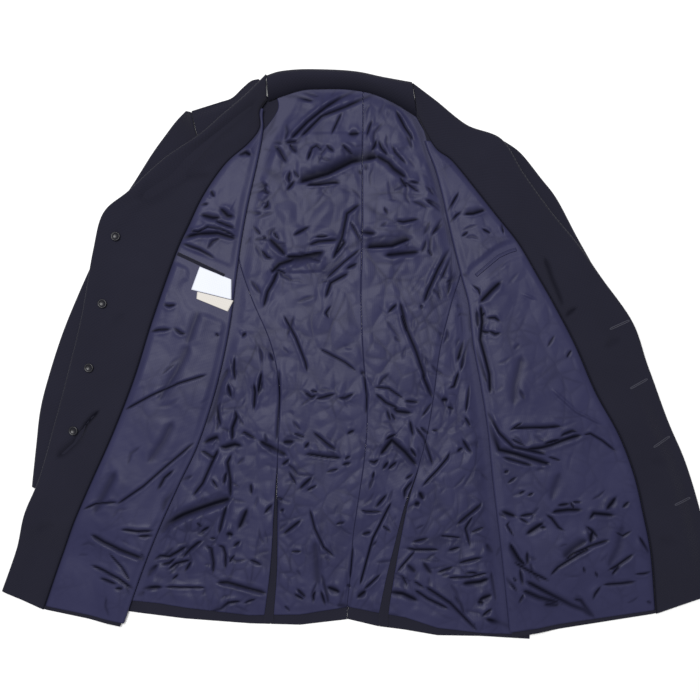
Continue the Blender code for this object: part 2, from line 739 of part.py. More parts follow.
def build_front_lining(node, table, folds, keep_clear, finish):
    """The satin between the facing and the fold beside the back, turned under at the fold."""
    rings = []
    radius = FOLD_ROLL - SATIN / 2
    hem = hem_place(table)
    for place in front_rows(table):
        if not LINING_START <= place <= hem:
            continue
        cut = FrontSection(table, place)
        width = -cut.lining_width
        hem_share = ease((hem - place) / HEM_FADE)
        head_share = ease((place - HEAD_FLAT) / HEAD_FADE)

        def lift(x, y, at, width=width, hem_share=hem_share, head_share=head_share):
            near = min(-at, at - width)
            share = ease(near / LINING_FADE) * hem_share * head_share * keep_clear(x, y)
            return folded(folds, x, y, FRONT_PUFF) * share

        path = cut.top_path(cut.lining_widths(), cut.lining_rise, lift)
        path += cut.roll_path(width, cut.inward, radius)
        path += cut.under_path(width, width + min(FOLD_TURN, cut.lining_width), radius)
        rings.append(wall_ring(path[::-1], SATIN))
    return loft(node, rings, finish)


def build_front_wool(node, table, finish):
    """The outer cloth of a front, between its lining and the sleeve."""
    rings = []
    for place in front_rows(table):
        cut = FrontSection(table, place)
        path = cut.top_path(cut.wool_widths(), lambda at: 0.0, lambda x, y, at: 0.0)
        rings.append(wall_ring(path, FRONT_WOOL))
    return loft(node, rings, finish)


def clear_of(line, distance):
    """A share that is 0 on a line of points and 1 beyond twice a distance from it."""
    def share(x, y):
        nearest = min(to_segment(x, y, start, end) for start, end in zip(line, line[1:]))
        return ease((nearest - distance) / distance)
    return share


def to_segment(x, y, start, end):
    """How far a place lies from the line between two points."""
    run = (end[0] - start[0], end[1] - start[1])
    share = clamp(((x - start[0]) * run[0] + (y - start[1]) * run[1]) / (run[0] ** 2 + run[1] ** 2))
    return math.dist((x, y), (start[0] + run[0] * share, start[1] + run[1] * share))


# ---------------------------------------------------------------- back

def back_edge(name, first, last, shift=0.0):
    """Points down a seam of the back, from one row to another, moved sideways by a shift."""
    return [(getattr(row, name) + shift, row.y) for row in BACK[first:last + 1]]


def build_back_wool(finish):
    """The four flat pieces of wool that the jacket lies on."""
    gap = SEAM_GAP / 2
    last = len(BACK) - 1
    foot = ARMHOLE_FOOT
    hem = {name: getattr(BACK[last], name) for name in ("seam_right", "centre", "seam_left")}

    def hem_points(low, high):
        inside = [point for point in WOOL_HEM if low + 1 < point[0] < high - 1]
        return [(low, height_at(WOOL_HEM, low)), *inside, (high, height_at(WOOL_HEM, high))]

    right = list(SHOULDER_LINE_RIGHT) + back_edge("centre", 0, last - 1, -gap)
    right += reversed(hem_points(hem["seam_right"] + gap, hem["centre"] - gap))
    right += reversed(back_edge("seam_right", foot + 1, last - 1, gap))
    right += ARMHOLE_RIGHT
    flat_panel("back_centre_right", right, 0, BACK_WOOL, finish)

    left = back_edge("centre", 0, last - 1, gap)
    left += hem_points(hem["centre"] + gap, hem["seam_left"] - gap)
    left += reversed(back_edge("seam_left", foot + 1, last - 1, -gap))
    left += list(ARMHOLE_LEFT) + list(reversed(SHOULDER_LINE_LEFT))
    flat_panel("back_centre_left", left, 0, BACK_WOOL, finish)

    side = back_edge("seam_right", foot + 1, last - 1, -gap)
    side[0] = (side[0][0], side[0][1] - LAYER_GAP)
    side += reversed(hem_points(SIDE_RIGHT[-1][0], hem["seam_right"] - gap))
    side += reversed(SIDE_RIGHT[:-1])
    flat_panel("back_side_right", side, 0, BACK_WOOL, finish)

    side = back_edge("seam_left", foot + 1, last - 1, gap)
    side[0] = (side[0][0], side[0][1] - LAYER_GAP)
    side += hem_points(hem["seam_left"] + gap, SIDE_LEFT[-1][0])
    side += reversed(SIDE_LEFT[:-1])
    flat_panel("back_side_left", side, 0, BACK_WOOL, finish)


def lining_lift(row, x, y):
    """Fullness of the back lining at a place, flat where something covers it."""
    from_side = min(x - row.side_right, row.side_left - x) - HIDDEN_LINING
    from_neck = height_at(NECK, x) - y - COLLAR_COVER
    from_hem = y - height_at(LINING_HEM, x)
    share = ease(from_side / LINING_FADE) * ease(from_neck / LINING_FADE)
    share *= mix(HEM_SHARE, 1, ease(from_hem / LINING_FADE))
    return folded(BACK_FOLDS, x, y, LINING_PUFF) * share


def lining_y(place, x, low, above=0.0):
    """Where a level of the back runs at x: its own y, bent to the neck above and a hem below."""
    top, bottom = BACK[0].y, BACK[-1].y
    own = section(BACK, place).y
    share = (top - own) / (top - bottom)
    from_neck = (height_at(NECK, x) - top) * clamp(1 - share / NECK_REACH)
    return own + from_neck + (height_at(low, x) + above - bottom) * share


def vent_at(place):
    """How wide the vents are at a place in the table of the back."""
    return VENT_WIDTH * max(0, place - VENT_TOP) / (len(BACK) - 1 - VENT_TOP)


def across(panel, start, end):
    """Where a panel of lining has its points, with one at the edge of the strip under a front."""
    hidden = min(HIDDEN_LINING, (end - start) * HIDDEN_SHARE)
    if panel.low == "side_right":
        return [start, *places(start + hidden, end, panel.columns)]
    if panel.high == "side_left":
        return [*places(start, end - hidden, panel.columns), end]
    return places(start, end, panel.columns)


def build_back_lining(panel, finish):
    """One panel of the back lining, down to its hem."""
    last = len(BACK) - 1
    rings = []
    for place in places(0, last, BACK_ROWS):
        if place < panel.first:
            continue
        row = section(BACK, place)
        start = getattr(row, panel.low) + SEAM_GAP / 2 + panel.low_open * vent_at(place)
        end = getattr(row, panel.high) - SEAM_GAP / 2 - panel.high_open * vent_at(place)
        path = []
        for x in across(panel, start, end):
            y = lining_y(place, x, LINING_HEM)
            z = LINING_SEAT - SATIN / 2 + lining_lift(row, x, y)
            path.append(((x, y, z), UP))
        rings.append(wall_ring(path, SATIN))
    return loft(panel.node, rings, finish)


def build_vent_facing(vent, finish):
    """The strip of wool that shows between two panels of lining at a vent."""
    last = len(BACK) - 1
    rows = [(place, LINING_HEM, 0) for place in places(VENT_TOP + VENT_START, last, VENT_ROWS)]
    rings = []
    for place, hem, above in rows + [(last, WOOL_HEM, VENT_HEM)]:
        seam = getattr(section(BACK, place), vent.column)
        start = seam + SEAM_GAP / 2 - vent.low * vent_at(place)
        end = seam - SEAM_GAP / 2 + vent.high * vent_at(place)
        path = []
        for x in (start, end):
            y = lining_y(place, x, hem, above)
            path.append(((x, y, BACK_WOOL + SEAM_GAP + VENT_CLOTH / 2), UP))
        rings.append(wall_ring(path, VENT_CLOTH))
    return loft(vent.node, rings, finish)


# ---------------------------------------------------------------- collar, shoulder and sleeves

def build_collar(finish):
    """The collar, rolled over at the neck with its fall turned under."""
    rings = []
    radius = COLLAR_ROLL - COLLAR_WOOL / 2
    for place in places(0, len(COLLAR) - 1, COLLAR_ROWS):
        row = section(COLLAR, place)
        outer, inner = (row.outer_x, row.outer_y), (row.inner_x, row.inner_y)
        way = FrontSection.direction(inner, outer)
        width = math.dist(inner, outer) - COLLAR_ROLL
        path = []
        for share in places(0, 1, COLLAR_COLUMNS):
            z = mix(COLLAR_SEAT, COLLAR_ROLL + radius, ease(share))
            path.append(((inner[0] + way[0] * width * share, inner[1] + way[1] * width * share, z), UP))
        middle = (inner[0] + way[0] * width, inner[1] + way[1] * width)
        for step in range(1, COLLAR_STEPS):
            angle = math.pi * step / COLLAR_STEPS
            side, up = math.sin(angle), math.cos(angle)
            place_now = (middle[0] + way[0] * side * radius, middle[1] + way[1] * side * radius,
                         COLLAR_ROLL + up * radius)
            path.append((place_now, (way[0] * side, way[1] * side, up)))
        for back in places(0, COLLAR_TURN, 2):
            path.append(((middle[0] - way[0] * back, middle[1] - way[1] * back,
                          COLLAR_WOOL / 2), DOWN))
        rings.append(wall_ring(path, COLLAR_WOOL))
    return loft("collar", rings, finish)


def build_shoulder(finish):
    """The shoulder end of the right front, from its outline to under the lapel."""
    rings = []
    low = BACK_WOOL + LAYER_GAP + FRONT_WOOL / 2
    high = SHOULDER_TOP - FRONT_WOOL / 2
    for place in places(0, len(SHOULDER_RIGHT) - 1, SHOULDER_ROWS):
        row = section(SHOULDER_RIGHT, place)
        outer, inner = (row.outer_x, row.outer_y), (row.inner_x, row.inner_y)
        width = math.dist(outer, inner)
        path = []
        for share in places(0, 1, SHOULDER_COLUMNS):
            z = mix(low, high, ease(share * width / SHOULDER_DROP))
            path.append(((mix(outer[0], inner[0], share), mix(outer[1], inner[1], share), z), UP))
        rings.append(wall_ring(path, FRONT_WOOL))
    return loft("shoulder_right", rings, finish)


def build_sleeve(node, table, finish):
    """A sleeve pressed flat: a tube of cloth, open at the armhole and the cuff."""
    bm = bmesh.new()
    rings = []
    for place in places(0, len(table) - 1, SLEEVE_ROWS):
        row = section(table, place)
        outer, inner = (row.outer_x, row.outer_y), (row.inner_x, row.inner_y)
        way = FrontSection.direction(outer, inner)
        half = row.height / 2
        ends = [(outer, -1), (inner, 1)]
        ring = []
        for (x, y), side in ends:
            middle = (x - side * way[0] * half, y - side * way[1] * half)
            for step in range(SLEEVE_STEPS + 1):
                angle = math.pi * (step / SLEEVE_STEPS - 0.5) * side
                out, up = math.cos(angle) * side * half, math.sin(angle) * half
                ring.append((middle[0] + way[0] * out, middle[1] + way[1] * out, half + up))
        rings.append(spread(ring))
    edges = None
    for ring in rings:
        verts = [bm.verts.new(metres(point)) for point in ring]
        loop = [bm.edges.new((a, b)) for a, b in zip(verts, verts[1:] + verts[:1])]
        if edges:
            bmesh.ops.bridge_loops(bm, edges=edges + loop)
        edges = loop
    piece = finish_mesh(node, bm, finish)
    wall = piece.modifiers.new("cloth", "SOLIDIFY")
    wall.thickness = SLEEVE_WOOL * MM
    wall.offset = -1
    return piece


def spread(ring):
    """A flat ring with extra points along its two long sides."""
    half = len(ring) // 2
    first, second = ring[:half], ring[half:]
    return first + between(first[-1], second[0]) + second + between(second[-1], first[0])


def between(start, end):
    """Points between two others, none of them included."""
    count = SLEEVE_COLUMNS
    return [tuple(mix(a, b, (index + 1) / (count + 1)) for a, b in zip(start, end))
            for index in range(count)]


# ---------------------------------------------------------------- small pieces

def front_top(table, x, y, cloth):
    """Height of the upper face of the cloth on a front, flat there, at a place."""
    on_facing = cloth == FACING_WOOL

    def aside(cut):
        way = cut.outward if on_facing else cut.inward
        return abs((x - cut.seam[0]) * way[1] - (y - cut.seam[1]) * way[0])

    steps = places(0, len(table) - 1, SEARCH_STEPS)
    cut = min((FrontSection(table, place) for place in steps), key=aside)
    width = math.dist((x, y), cut.seam)
    if on_facing:
        return cut.wool_z(width) + cut.facing_rise(width) + cloth / 2
    return cut.wool_z(-width) + cut.lining_rise(-width) + cloth / 2


def build_welt(node, line, table, finish):
    """The mouth of an inner pocket: a narrow strip along a line on the lining."""
    points = [point_on(line, place) for place in places(0, len(line) - 1, WELT_POINTS)]
    rings = []
    for index, (x, y) in enumerate(points):
        before, after = points[max(index - 1, 0)], points[min(index + 1, WELT_POINTS - 1)]
        way = FrontSection.direction(before, after)
        path = []
        for side in (-WELT_WIDTH / 2, WELT_WIDTH / 2):
            px, py = x - way[1] * side, y + way[0] * side
            z = front_top(table, px, py, SATIN) + TRIM_GAP + WELT_CLOTH / 2
            path.append(((px, py, z), UP))
        rings.append(wall_ring(path, WELT_CLOTH))
    return loft(node, rings, finish)


def build_label(node, corners, table, finish):
    """A flat label: a grid between its four corners, laid on the lining."""
    top_left, top_right, low_right, low_left = corners
    rings = []
    for down in places(0, 1, LABEL_ROWS):
        path = []
        for share in places(0, 1, LABEL_COLUMNS):
            x = mix(mix(top_left[0], top_right[0], share), mix(low_left[0], low_right[0], share), down)
            y = mix(mix(top_left[1], top_right[1], share), mix(low_left[1], low_right[1], share), down)
            path.append(((x, y, front_top(table, x, y, SATIN) + TRIM_GAP + LABEL_CLOTH / 2), UP))
        rings.append(wall_ring(path, LABEL_CLOTH))
    return loft(node, rings, finish)


def build_button_back(node, x, y, table, finish):
    """The small dished disc that holds a front button from inside."""
    rim = [(x + side * BUTTON_RADIUS, y + up * BUTTON_RADIUS) for side in (-1, 1) for up in (-1, 1)]
    low = max(front_top(table, *place, FACING_WOOL) for place in rim) + BUTTON_SHANK
    bm = bmesh.new()
    bmesh.ops.create_cone(bm, cap_ends=True, segments=BUTTON_SIDES, radius1=BUTTON_RADIUS * MM,
                          radius2=BUTTON_RADIUS * MM, depth=BUTTON_HEIGHT * MM)
    top = max(bm.faces, key=lambda face: face.calc_center_median().z)
    bmesh.ops.inset_region(bm, faces=[top], thickness=(BUTTON_RADIUS - BUTTON_DISH) * MM)
    bmesh.ops.translate(bm, verts=top.verts, vec=metres((0, 0, -BUTTON_HEIGHT / 2)))
    bmesh.ops.translate(bm, verts=bm.verts, vec=metres((x, y, low + BUTTON_HEIGHT / 2)))
    return finish_mesh(node, bm, finish)


# ---------------------------------------------------------------- the jacket

def clear_scene():
    """Remove what the scene holds."""
    for item in list(bpy.data.objects):
        bpy.data.objects.remove(item, do_unlink=True)


def label_clear(x, y):
    """A share that keeps the lining flat round the labels and the right pocket mouth."""
    low_x, high_x, low_y, high_y = LABEL_BOX
    if low_x < x < high_x and low_y < y < high_y:
        return 0.0
    outline = LABEL_WHITE + LABEL_CREAM[1:] + LABEL_WHITE[:1]
    return clear_of(outline, LABEL_CLEAR)(x, y) * clear_of(POCKET_RIGHT, POCKET_CLEAR)(x, y)


def main():
    """Build every piece of the jacket."""
    clear_scene()
    build_back_wool(WOOL_FINISH)
    for panel in BACK_PANELS:
        build_back_lining(panel, SATIN_FINISH)
    for vent in VENTS:
        build_vent_facing(vent, WOOL_FINISH)
    build_collar(WOOL_FINISH)
    build_shoulder(WOOL_FINISH)
    build_sleeve("sleeve_right", SLEEVE_RIGHT, WOOL_FINISH)
    build_sleeve("sleeve_left", SLEEVE_LEFT, WOOL_FINISH)
    for side, table, folds, keep_clear in (
            ("right", FRONT_RIGHT, FRONT_RIGHT_FOLDS, label_clear),
            ("left", FRONT_LEFT, FRONT_LEFT_FOLDS, clear_of(POCKET_LEFT, POCKET_CLEAR))):
        build_facing("facing_" + side, table, WOOL_FINISH)
        build_front_lining("lining_front_" + side, table, folds, keep_clear, SATIN_FINISH)
        build_front_wool("front_" + side, table, WOOL_FINISH)
    build_welt("pocket_welt_right", POCKET_RIGHT, FRONT_RIGHT, WOOL_FINISH)
    build_welt("pocket_welt_left", POCKET_LEFT, FRONT_LEFT, SATIN_FINISH)
    build_label("label_white", LABEL_WHITE, FRONT_RIGHT, WHITE_FINISH)
    build_label("label_cream", LABEL_CREAM, FRONT_RIGHT, CREAM_FINISH)
    for index, (x, y) in enumerate(BUTTONS):
        build_button_back(f"button_back_{index + 1}", x, y, FRONT_RIGHT, HORN_FINISH)


main()
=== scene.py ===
"""Dress jacket of dark navy wool, laid open flat on its back with the satin lining up.

Sizes are in millimetres until a mesh is made, when they become metres. X runs across the
jacket, +Y from the hem to the collar and +Z up from the surface that it lies on. Right and
left are the wearer's, so the right front is at -X.
"""
import logging
import math
from dataclasses import dataclass
from enum import Enum
from typing import NamedTuple, Sequence

import bmesh
import bpy
import numpy as np
from mathutils import Euler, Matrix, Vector, noise


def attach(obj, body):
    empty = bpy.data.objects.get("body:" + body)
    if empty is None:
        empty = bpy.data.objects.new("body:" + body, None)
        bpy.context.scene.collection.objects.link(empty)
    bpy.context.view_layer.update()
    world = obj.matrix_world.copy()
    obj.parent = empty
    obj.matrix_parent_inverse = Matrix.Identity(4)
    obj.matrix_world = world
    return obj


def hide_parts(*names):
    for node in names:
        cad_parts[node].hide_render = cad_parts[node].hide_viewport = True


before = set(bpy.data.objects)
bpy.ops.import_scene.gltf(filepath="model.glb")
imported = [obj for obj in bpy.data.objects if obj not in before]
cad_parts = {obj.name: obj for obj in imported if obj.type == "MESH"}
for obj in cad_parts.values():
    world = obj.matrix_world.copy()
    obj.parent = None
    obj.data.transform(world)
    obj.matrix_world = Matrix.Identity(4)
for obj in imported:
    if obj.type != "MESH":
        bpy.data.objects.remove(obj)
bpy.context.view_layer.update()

LOG = logging.getLogger("jacket")
MM = 0.001
SEED = 41
Array = np.ndarray
Line = Sequence[tuple]


# ---------------------------------------------------------------- sizes of the cloth

SEAM_GAP = 0.3          # between two pieces that meet at a seam
BACK_WOOL = 2.0
FRONT_WOOL = 1.8
FACING_WOOL = 1.8
SLEEVE_WOOL = 2.0
COLLAR_WOOL = 2.5
SATIN = 0.5
LINING_SEAT = 3.3       # top of the back lining where it lies flat
FACING_SEAT = 3.1       # top of a facing above the middle of the front's wool
FRONT_LINING_SEAT = 2.2  # the same for the front lining
FOLD_ROLL = 3.2         # outer radius where a front turns under beside the back
FOLD_TURN = 16.0        # how far its lining runs back below it
LEAST_LINING = 1.5      # least width of a front lining
FRONT_RISE = 38.0       # width over which a front climbs from the back on to the sleeve
EDGE_SLOPE = 26.0       # width over which a front changes height near its edge
COLLAR_ROLL = 8.0
COLLAR_TURN = 12.0      # how far the fall runs back under the collar
COLLAR_SEAT = 5.4
COLLAR_SHADE = 0.85     # how dark the painted shade at the collar's seam with the lining is
COLLAR_RIM = 0.6
SHOULDER_SEAT = 4.2     # top of the shoulder's cloth at its outline
SHOULDER_TOP = 8.2      # the same under the lapel
SHOULDER_DROP = 15.0    # width between the two
WOOL_RIM = 0.5          # radius of the rounded rims of the wool
VENT_CLOTH = (2.3, 3.9)  # heights of the two faces of a vent's facing
VENT_CUT = 175.0        # its length
HIDDEN_LINING = 22.0    # the strip of back lining that a front covers
FRONT_LINING_HEM = 9.0
LINING_START = 0.8      # row of a front where its lining begins, below the collar
FINE_STEP = 2.02        # between the rows and columns of a lining
FACING_STEP = 3.4       # the same for a facing
COARSE_STEP = 9.0       # the same where it is hidden
ROLL_STEPS = 9          # faces round the roll of an edge
UNDER_STEPS = 4
WOOL_END = 0.6          # the wool stops this far short of the middle of each roll
SEAM_FADE = 10.0        # width over which the lining's folds die out at a seam
SEAM_DIP = 0.7          # how far a facing dips into its seam
WAVER = 0.5             # unevenness of a facing
WAVER_SCALE = 0.012
EDGE_HOLD = 14.0        # width over which a facing's folds die out at its edges
NECK_FADE = 16.0        # the same for the back lining below the collar
SIDE_FADE = 18.0        # the same at its sides and its hem
SEAM_LINE = 1.2         # width of the painted shade line at a seam
SEAM_SHADE = 0.12       # how dark the painted shade along the seams of the back lining is
NECK_REACH = 0.25       # share of the back's length over which the neck's curve dies out
COLLAR_OVER = 0.2       # how far the collar's ends run on, in rows of its table
SHOULDER_OVER = 0.2     # the same for the shoulder's end at the sleeve
LEAST_CUT = 12          # the narrowest strip that is cut


class Front(NamedTuple):
    """A section across a front: edge, facing seam and the fold beside the back."""
    edge_x: float
    edge_y: float
    seam_x: float
    seam_y: float
    fold_x: float
    fold_y: float
    edge_z: float   # height of the wool's middle at the edge
    rest_z: float   # the same over the sleeve
    fold_z: float   # the same at the fold
    shelf: float    # width beside the fold that stays at the fold's height
    roll: float     # outer radius of the edge's roll
    turn: float     # how far the facing runs back under the roll


FRONT_RIGHT = (
    Front(-132.8, 396.8, -131.6, 362.5, -130.1, 361.8, 13.8, 10, 7, 0, 5, 10),
    Front(-162, 368, -142, 345, -137, 344, 13.8, 10, 7, 0, 5, 12),
    Front(-197, 338, -142, 322, -137, 320, 13.8, 10, 7, 0, 5, 24),
    Front(-228, 311, -158, 300, -141, 294, 13.8, 10, 7, 0, 5, 36),
    Front(-278, 277, -191, 270, -148, 261, 13.8, 10, 7, 0, 5, 44),
    Front(-327, 232, -221, 227, -158, 217, 13.8, 10, 7, 0, 5, 38),
    Front(-363, 201, -242, 184, -167, 169, 12.8, 10, 7, 0, 4, 20),
    Front(-378, 147, -261, 142, -174, 121, 11.9, 10, 7, 0, 3.1, 6),
    Front(-394, 55, -294, 49, -185, 38, 11.9, 10, 7, 0, 3.1, 5),
    Front(-414, -28, -320, -34, -204, -48, 11.9, 10, 7, 0, 3.1, 5),
    Front(-435, -108, -351, -114, -230, -128, 11.9, 10, 7, 0, 3.1, 5),
    Front(-455, -177, -380, -179, -257, -185, 11.9, 10, 7, 0, 3.1, 5),
    Front(-475, -225, -403, -232, -285, -247, 11.9, 10, 7, 6, 3.1, 5),
    Front(-490, -280, -425, -288, -308, -305, 3.1, 0.9, 7, 26, 3.1, 5),
    Front(-510, -337, -451, -364, -337, -388, 3.1, 0.9, 7, 14, 3.1, 5),
)

FRONT_LEFT = (
    Front(75.8, 386.1, 82.9, 339.6, 82.2, 338.2, 7.4, 7, 7, 0, 5, 12),
    Front(109, 361, 107, 295, 95, 295, 7.4, 7, 7, 0, 5, 20),
    Front(152, 327, 132, 275, 107, 264, 7.4, 7, 7, 0, 5, 30),
    Front(201, 305, 164, 235, 117, 227, 13.8, 10, 7, 0, 5, 36),
    Front(232, 257, 194, 197, 124, 195, 13.8, 10, 7, 0, 5, 40),
    Front(270, 204, 225, 158, 134, 152, 13.8, 10, 7, 0, 5, 34),
    Front(310, 155, 251, 114, 145, 109, 13.8, 10, 7, 0, 5, 26),
    Front(344, 107, 274, 74, 155, 71, 12.8, 10, 7, 0, 4, 12),
    Front(387, 46, 305, 15, 161, 16, 11.9, 10, 7, 0, 3.1, 5),
    Front(411, -19, 335, -54, 172, -44, 8.0, 10, 7, 0, 3.1, 5),
    Front(441, -97, 368, -114, 182, -108, 3.1, 10, 7, 0, 3.1, 5),
    Front(464, -151, 390, -172, 188, -168, 3.1, 10, 7, 20, 3.1, 5),
    Front(483, -212, 403, -228, 194, -220, 3.1, 10, 7, 34, 3.1, 5),
    Front(497, -272, 413, -280, 201, -277, 3.1, 10, 7, 40, 3.1, 5),
    Front(510, -340, 423, -370, 214, -403, 3.1, 0.9, 7, 34, 3.1, 5),
)


class Sleeve(NamedTuple):
    """A section across a sleeve that lies flat, from its outer to its inner edge."""
    outer_x: float
    outer_y: float
    inner_x: float
    inner_y: float
    height: float


SLEEVE_RIGHT = (
    Sleeve(-248, 347, -239, 345, 6.2),
    Sleeve(-262, 332, -234, 321, 7.5),
    Sleeve(-277, 312, -224, 288, 8.4),
    Sleeve(-295, 287, -212, 245, 8.4),
    Sleeve(-317, 252, -208, 204, 8.4),
    Sleeve(-345, 207, -211, 158, 8.4),
    Sleeve(-373, 147, -218, 99, 8.4),
    Sleeve(-398, 92, -228, 42, 8.4),
    Sleeve(-423, 31, -244, -15, 8.4),
    Sleeve(-443, -31, -261, -72, 8.4),
    Sleeve(-455, -79, -280, -122, 8.4),
    Sleeve(-461, -131, -305, -179, 8.4),
    Sleeve(-467, -188, -342, -237, 8.4),
)

SLEEVE_LEFT = (
    Sleeve(207, 304, 188, 291, 6.2),
    Sleeve(230, 287, 178, 260, 7.5),
    Sleeve(258, 252, 181, 218, 8.4),
    Sleeve(281, 222, 185, 175, 8.4),
    Sleeve(308, 171, 194, 121, 8.4),
    Sleeve(328, 135, 201, 78, 8.4),
    Sleeve(344, 104, 209, 35, 8.4),
    Sleeve(363, 42, 221, -22, 8.4),
    Sleeve(380, -22, 237, -79, 8.4),
    Sleeve(397, -87, 255, -137, 8.4),
    Sleeve(414, -148, 274, -194, 8.4),
    Sleeve(427, -208, 295, -247, 8.4),
)


class Strip(NamedTuple):
    """A section across a strip of cloth, from its outer to its inner edge."""
    outer_x: float
    outer_y: float
    inner_x: float
    inner_y: float


COLLAR = (
    Strip(-130.8, 397.1, -128.7, 361.1),
    Strip(-113.7, 402.5, -109.4, 368.2),
    Strip(-85.1, 405.4, -80.8, 376.8),
    Strip(-53.6, 405.4, -52.2, 378.2),
    Strip(-20.7, 404.0, -23.6, 378.2),
    Strip(3.6, 401.1, 0.7, 375.4),
    Strip(29.3, 395.4, 23.6, 369.7),
    Strip(52.2, 391.1, 49.3, 358.2),
    Strip(72.9, 387.4, 79.4, 339.6),
)

SHOULDER_RIGHT = (
    Strip(-238.5, 347.5, -227, 303),
    Strip(-218, 354, -197, 317),
    Strip(-199, 360, -174, 334),
    Strip(-182, 366, -157, 348),
    Strip(-167, 380, -145, 363),
    Strip(-155, 390, -138, 375),
    Strip(-144, 393, -135, 383),
)


class Back(NamedTuple):
    """A level of the back: the lining's hidden sides and its three seams."""
    y: float
    side_right: float
    seam_right: float
    centre: float
    seam_left: float
    side_left: float


BACK = (
    Back(368, -119, -119, 5, 80, 80),
    Back(347, -117, -117, 5, 100, 100),
    Back(321, -139, -139, 5, 113, 113),
    Back(285, -158, -158, 4, 126, 126),
    Back(235, -169, -169, 4, 136, 136),
    Back(185, -181, -178, 4, 145, 145),
    Back(132, -189, -172, 3, 147, 157),
    Back(78, -197, -154, 2, 131, 169),
    Back(14, -209, -127, 4, 115, 179),
    Back(-44, -224, -115, 8, 107, 188),
    Back(-101, -242, -115, 11, 98, 197),
    Back(-158, -265, -117, 7, 84, 204),
    Back(-215, -290, -119, -1, 65, 209),
    Back(-272, -308, -120, -9, 51, 217),
    Back(-322, -325, -122, -12, 39, 222),
    Back(-377, -340, -127, -18, 28, 228),
)
VENT_TOP = 11           # the row of BACK where the vents open
VENT_WIDTH = 13.0       # width of a vent at the hem

NECK = ((-131, 363), (-114, 371), (-85, 381), (-28, 381), (15, 377), (58, 359), (80, 340), (115, 307))
WOOL_HEM = ((-348, -364), (-314, -369), (-250, -377), (-157, -384), (-85, -386), (-16, -378),
            (26, -388), (65, -393), (111, -401), (172, -402), (240, -406))
LINING_HEM = ((-348, -350), (-314, -352), (-285, -355), (-250, -361), (-157, -372), (-85, -371),
              (-16, -360), (26, -368), (65, -375), (111, -390), (172, -397), (240, -400))

# The outline of the outer back: x, y
SHOULDER_LINE_RIGHT = ((-234, 347), (-199, 359), (-182, 364), (-167, 377), (-155, 388),
                       (-139, 390), (-134, 368), (-99, 374), (-59, 375), (-28, 375))
SHOULDER_LINE_LEFT = ((15, 374), (58, 355), (75, 337), (80, 377), (109, 356), (152, 322), (180, 300))
ARMHOLE_RIGHT = ((-206, 144), (-203, 204), (-206, 245), (-217, 284), (-228, 318))
ARMHOLE_LEFT = ((188, 121), (179, 175), (175, 218), (172, 262), (180, 290))
SIDE_RIGHT = ((-213, 99), (-222, 42), (-238, -15), (-255, -72), (-274, -122), (-299, -179),
              (-330, -237), (-338, -300), (-348, -364))
SIDE_LEFT = ((186, 84), (196, 78), (203, 35), (215, -22), (231, -79), (243, -137), (243, -250), (243, -406))
ARMHOLE_FOOT = 5        # the row of BACK where the side seams leave the armholes


# ---------------------------------------------------------------- the folds of the lining

class Crease(NamedTuple):
    """A sharp trough along a line of points, with a soft ridge to each side.

    A depth below 0 makes a ridge with two troughs instead.
    """
    points: tuple
    depth: float
    width: float
    lean: float = 0.0   # -1 to 1: the side, to the right of its way, that is gentler


def laid(lean: float, *rows: tuple) -> list[Crease]:
    """Creases that lean alike.

    Args:
        lean: how far they lean.
        rows: for each, its depth, its width and then x and y of its points in turn.

    Returns:
        The creases.
    """
    return [Crease(tuple(zip(row[2::2], row[3::2])), row[0], row[1], lean) for row in rows]


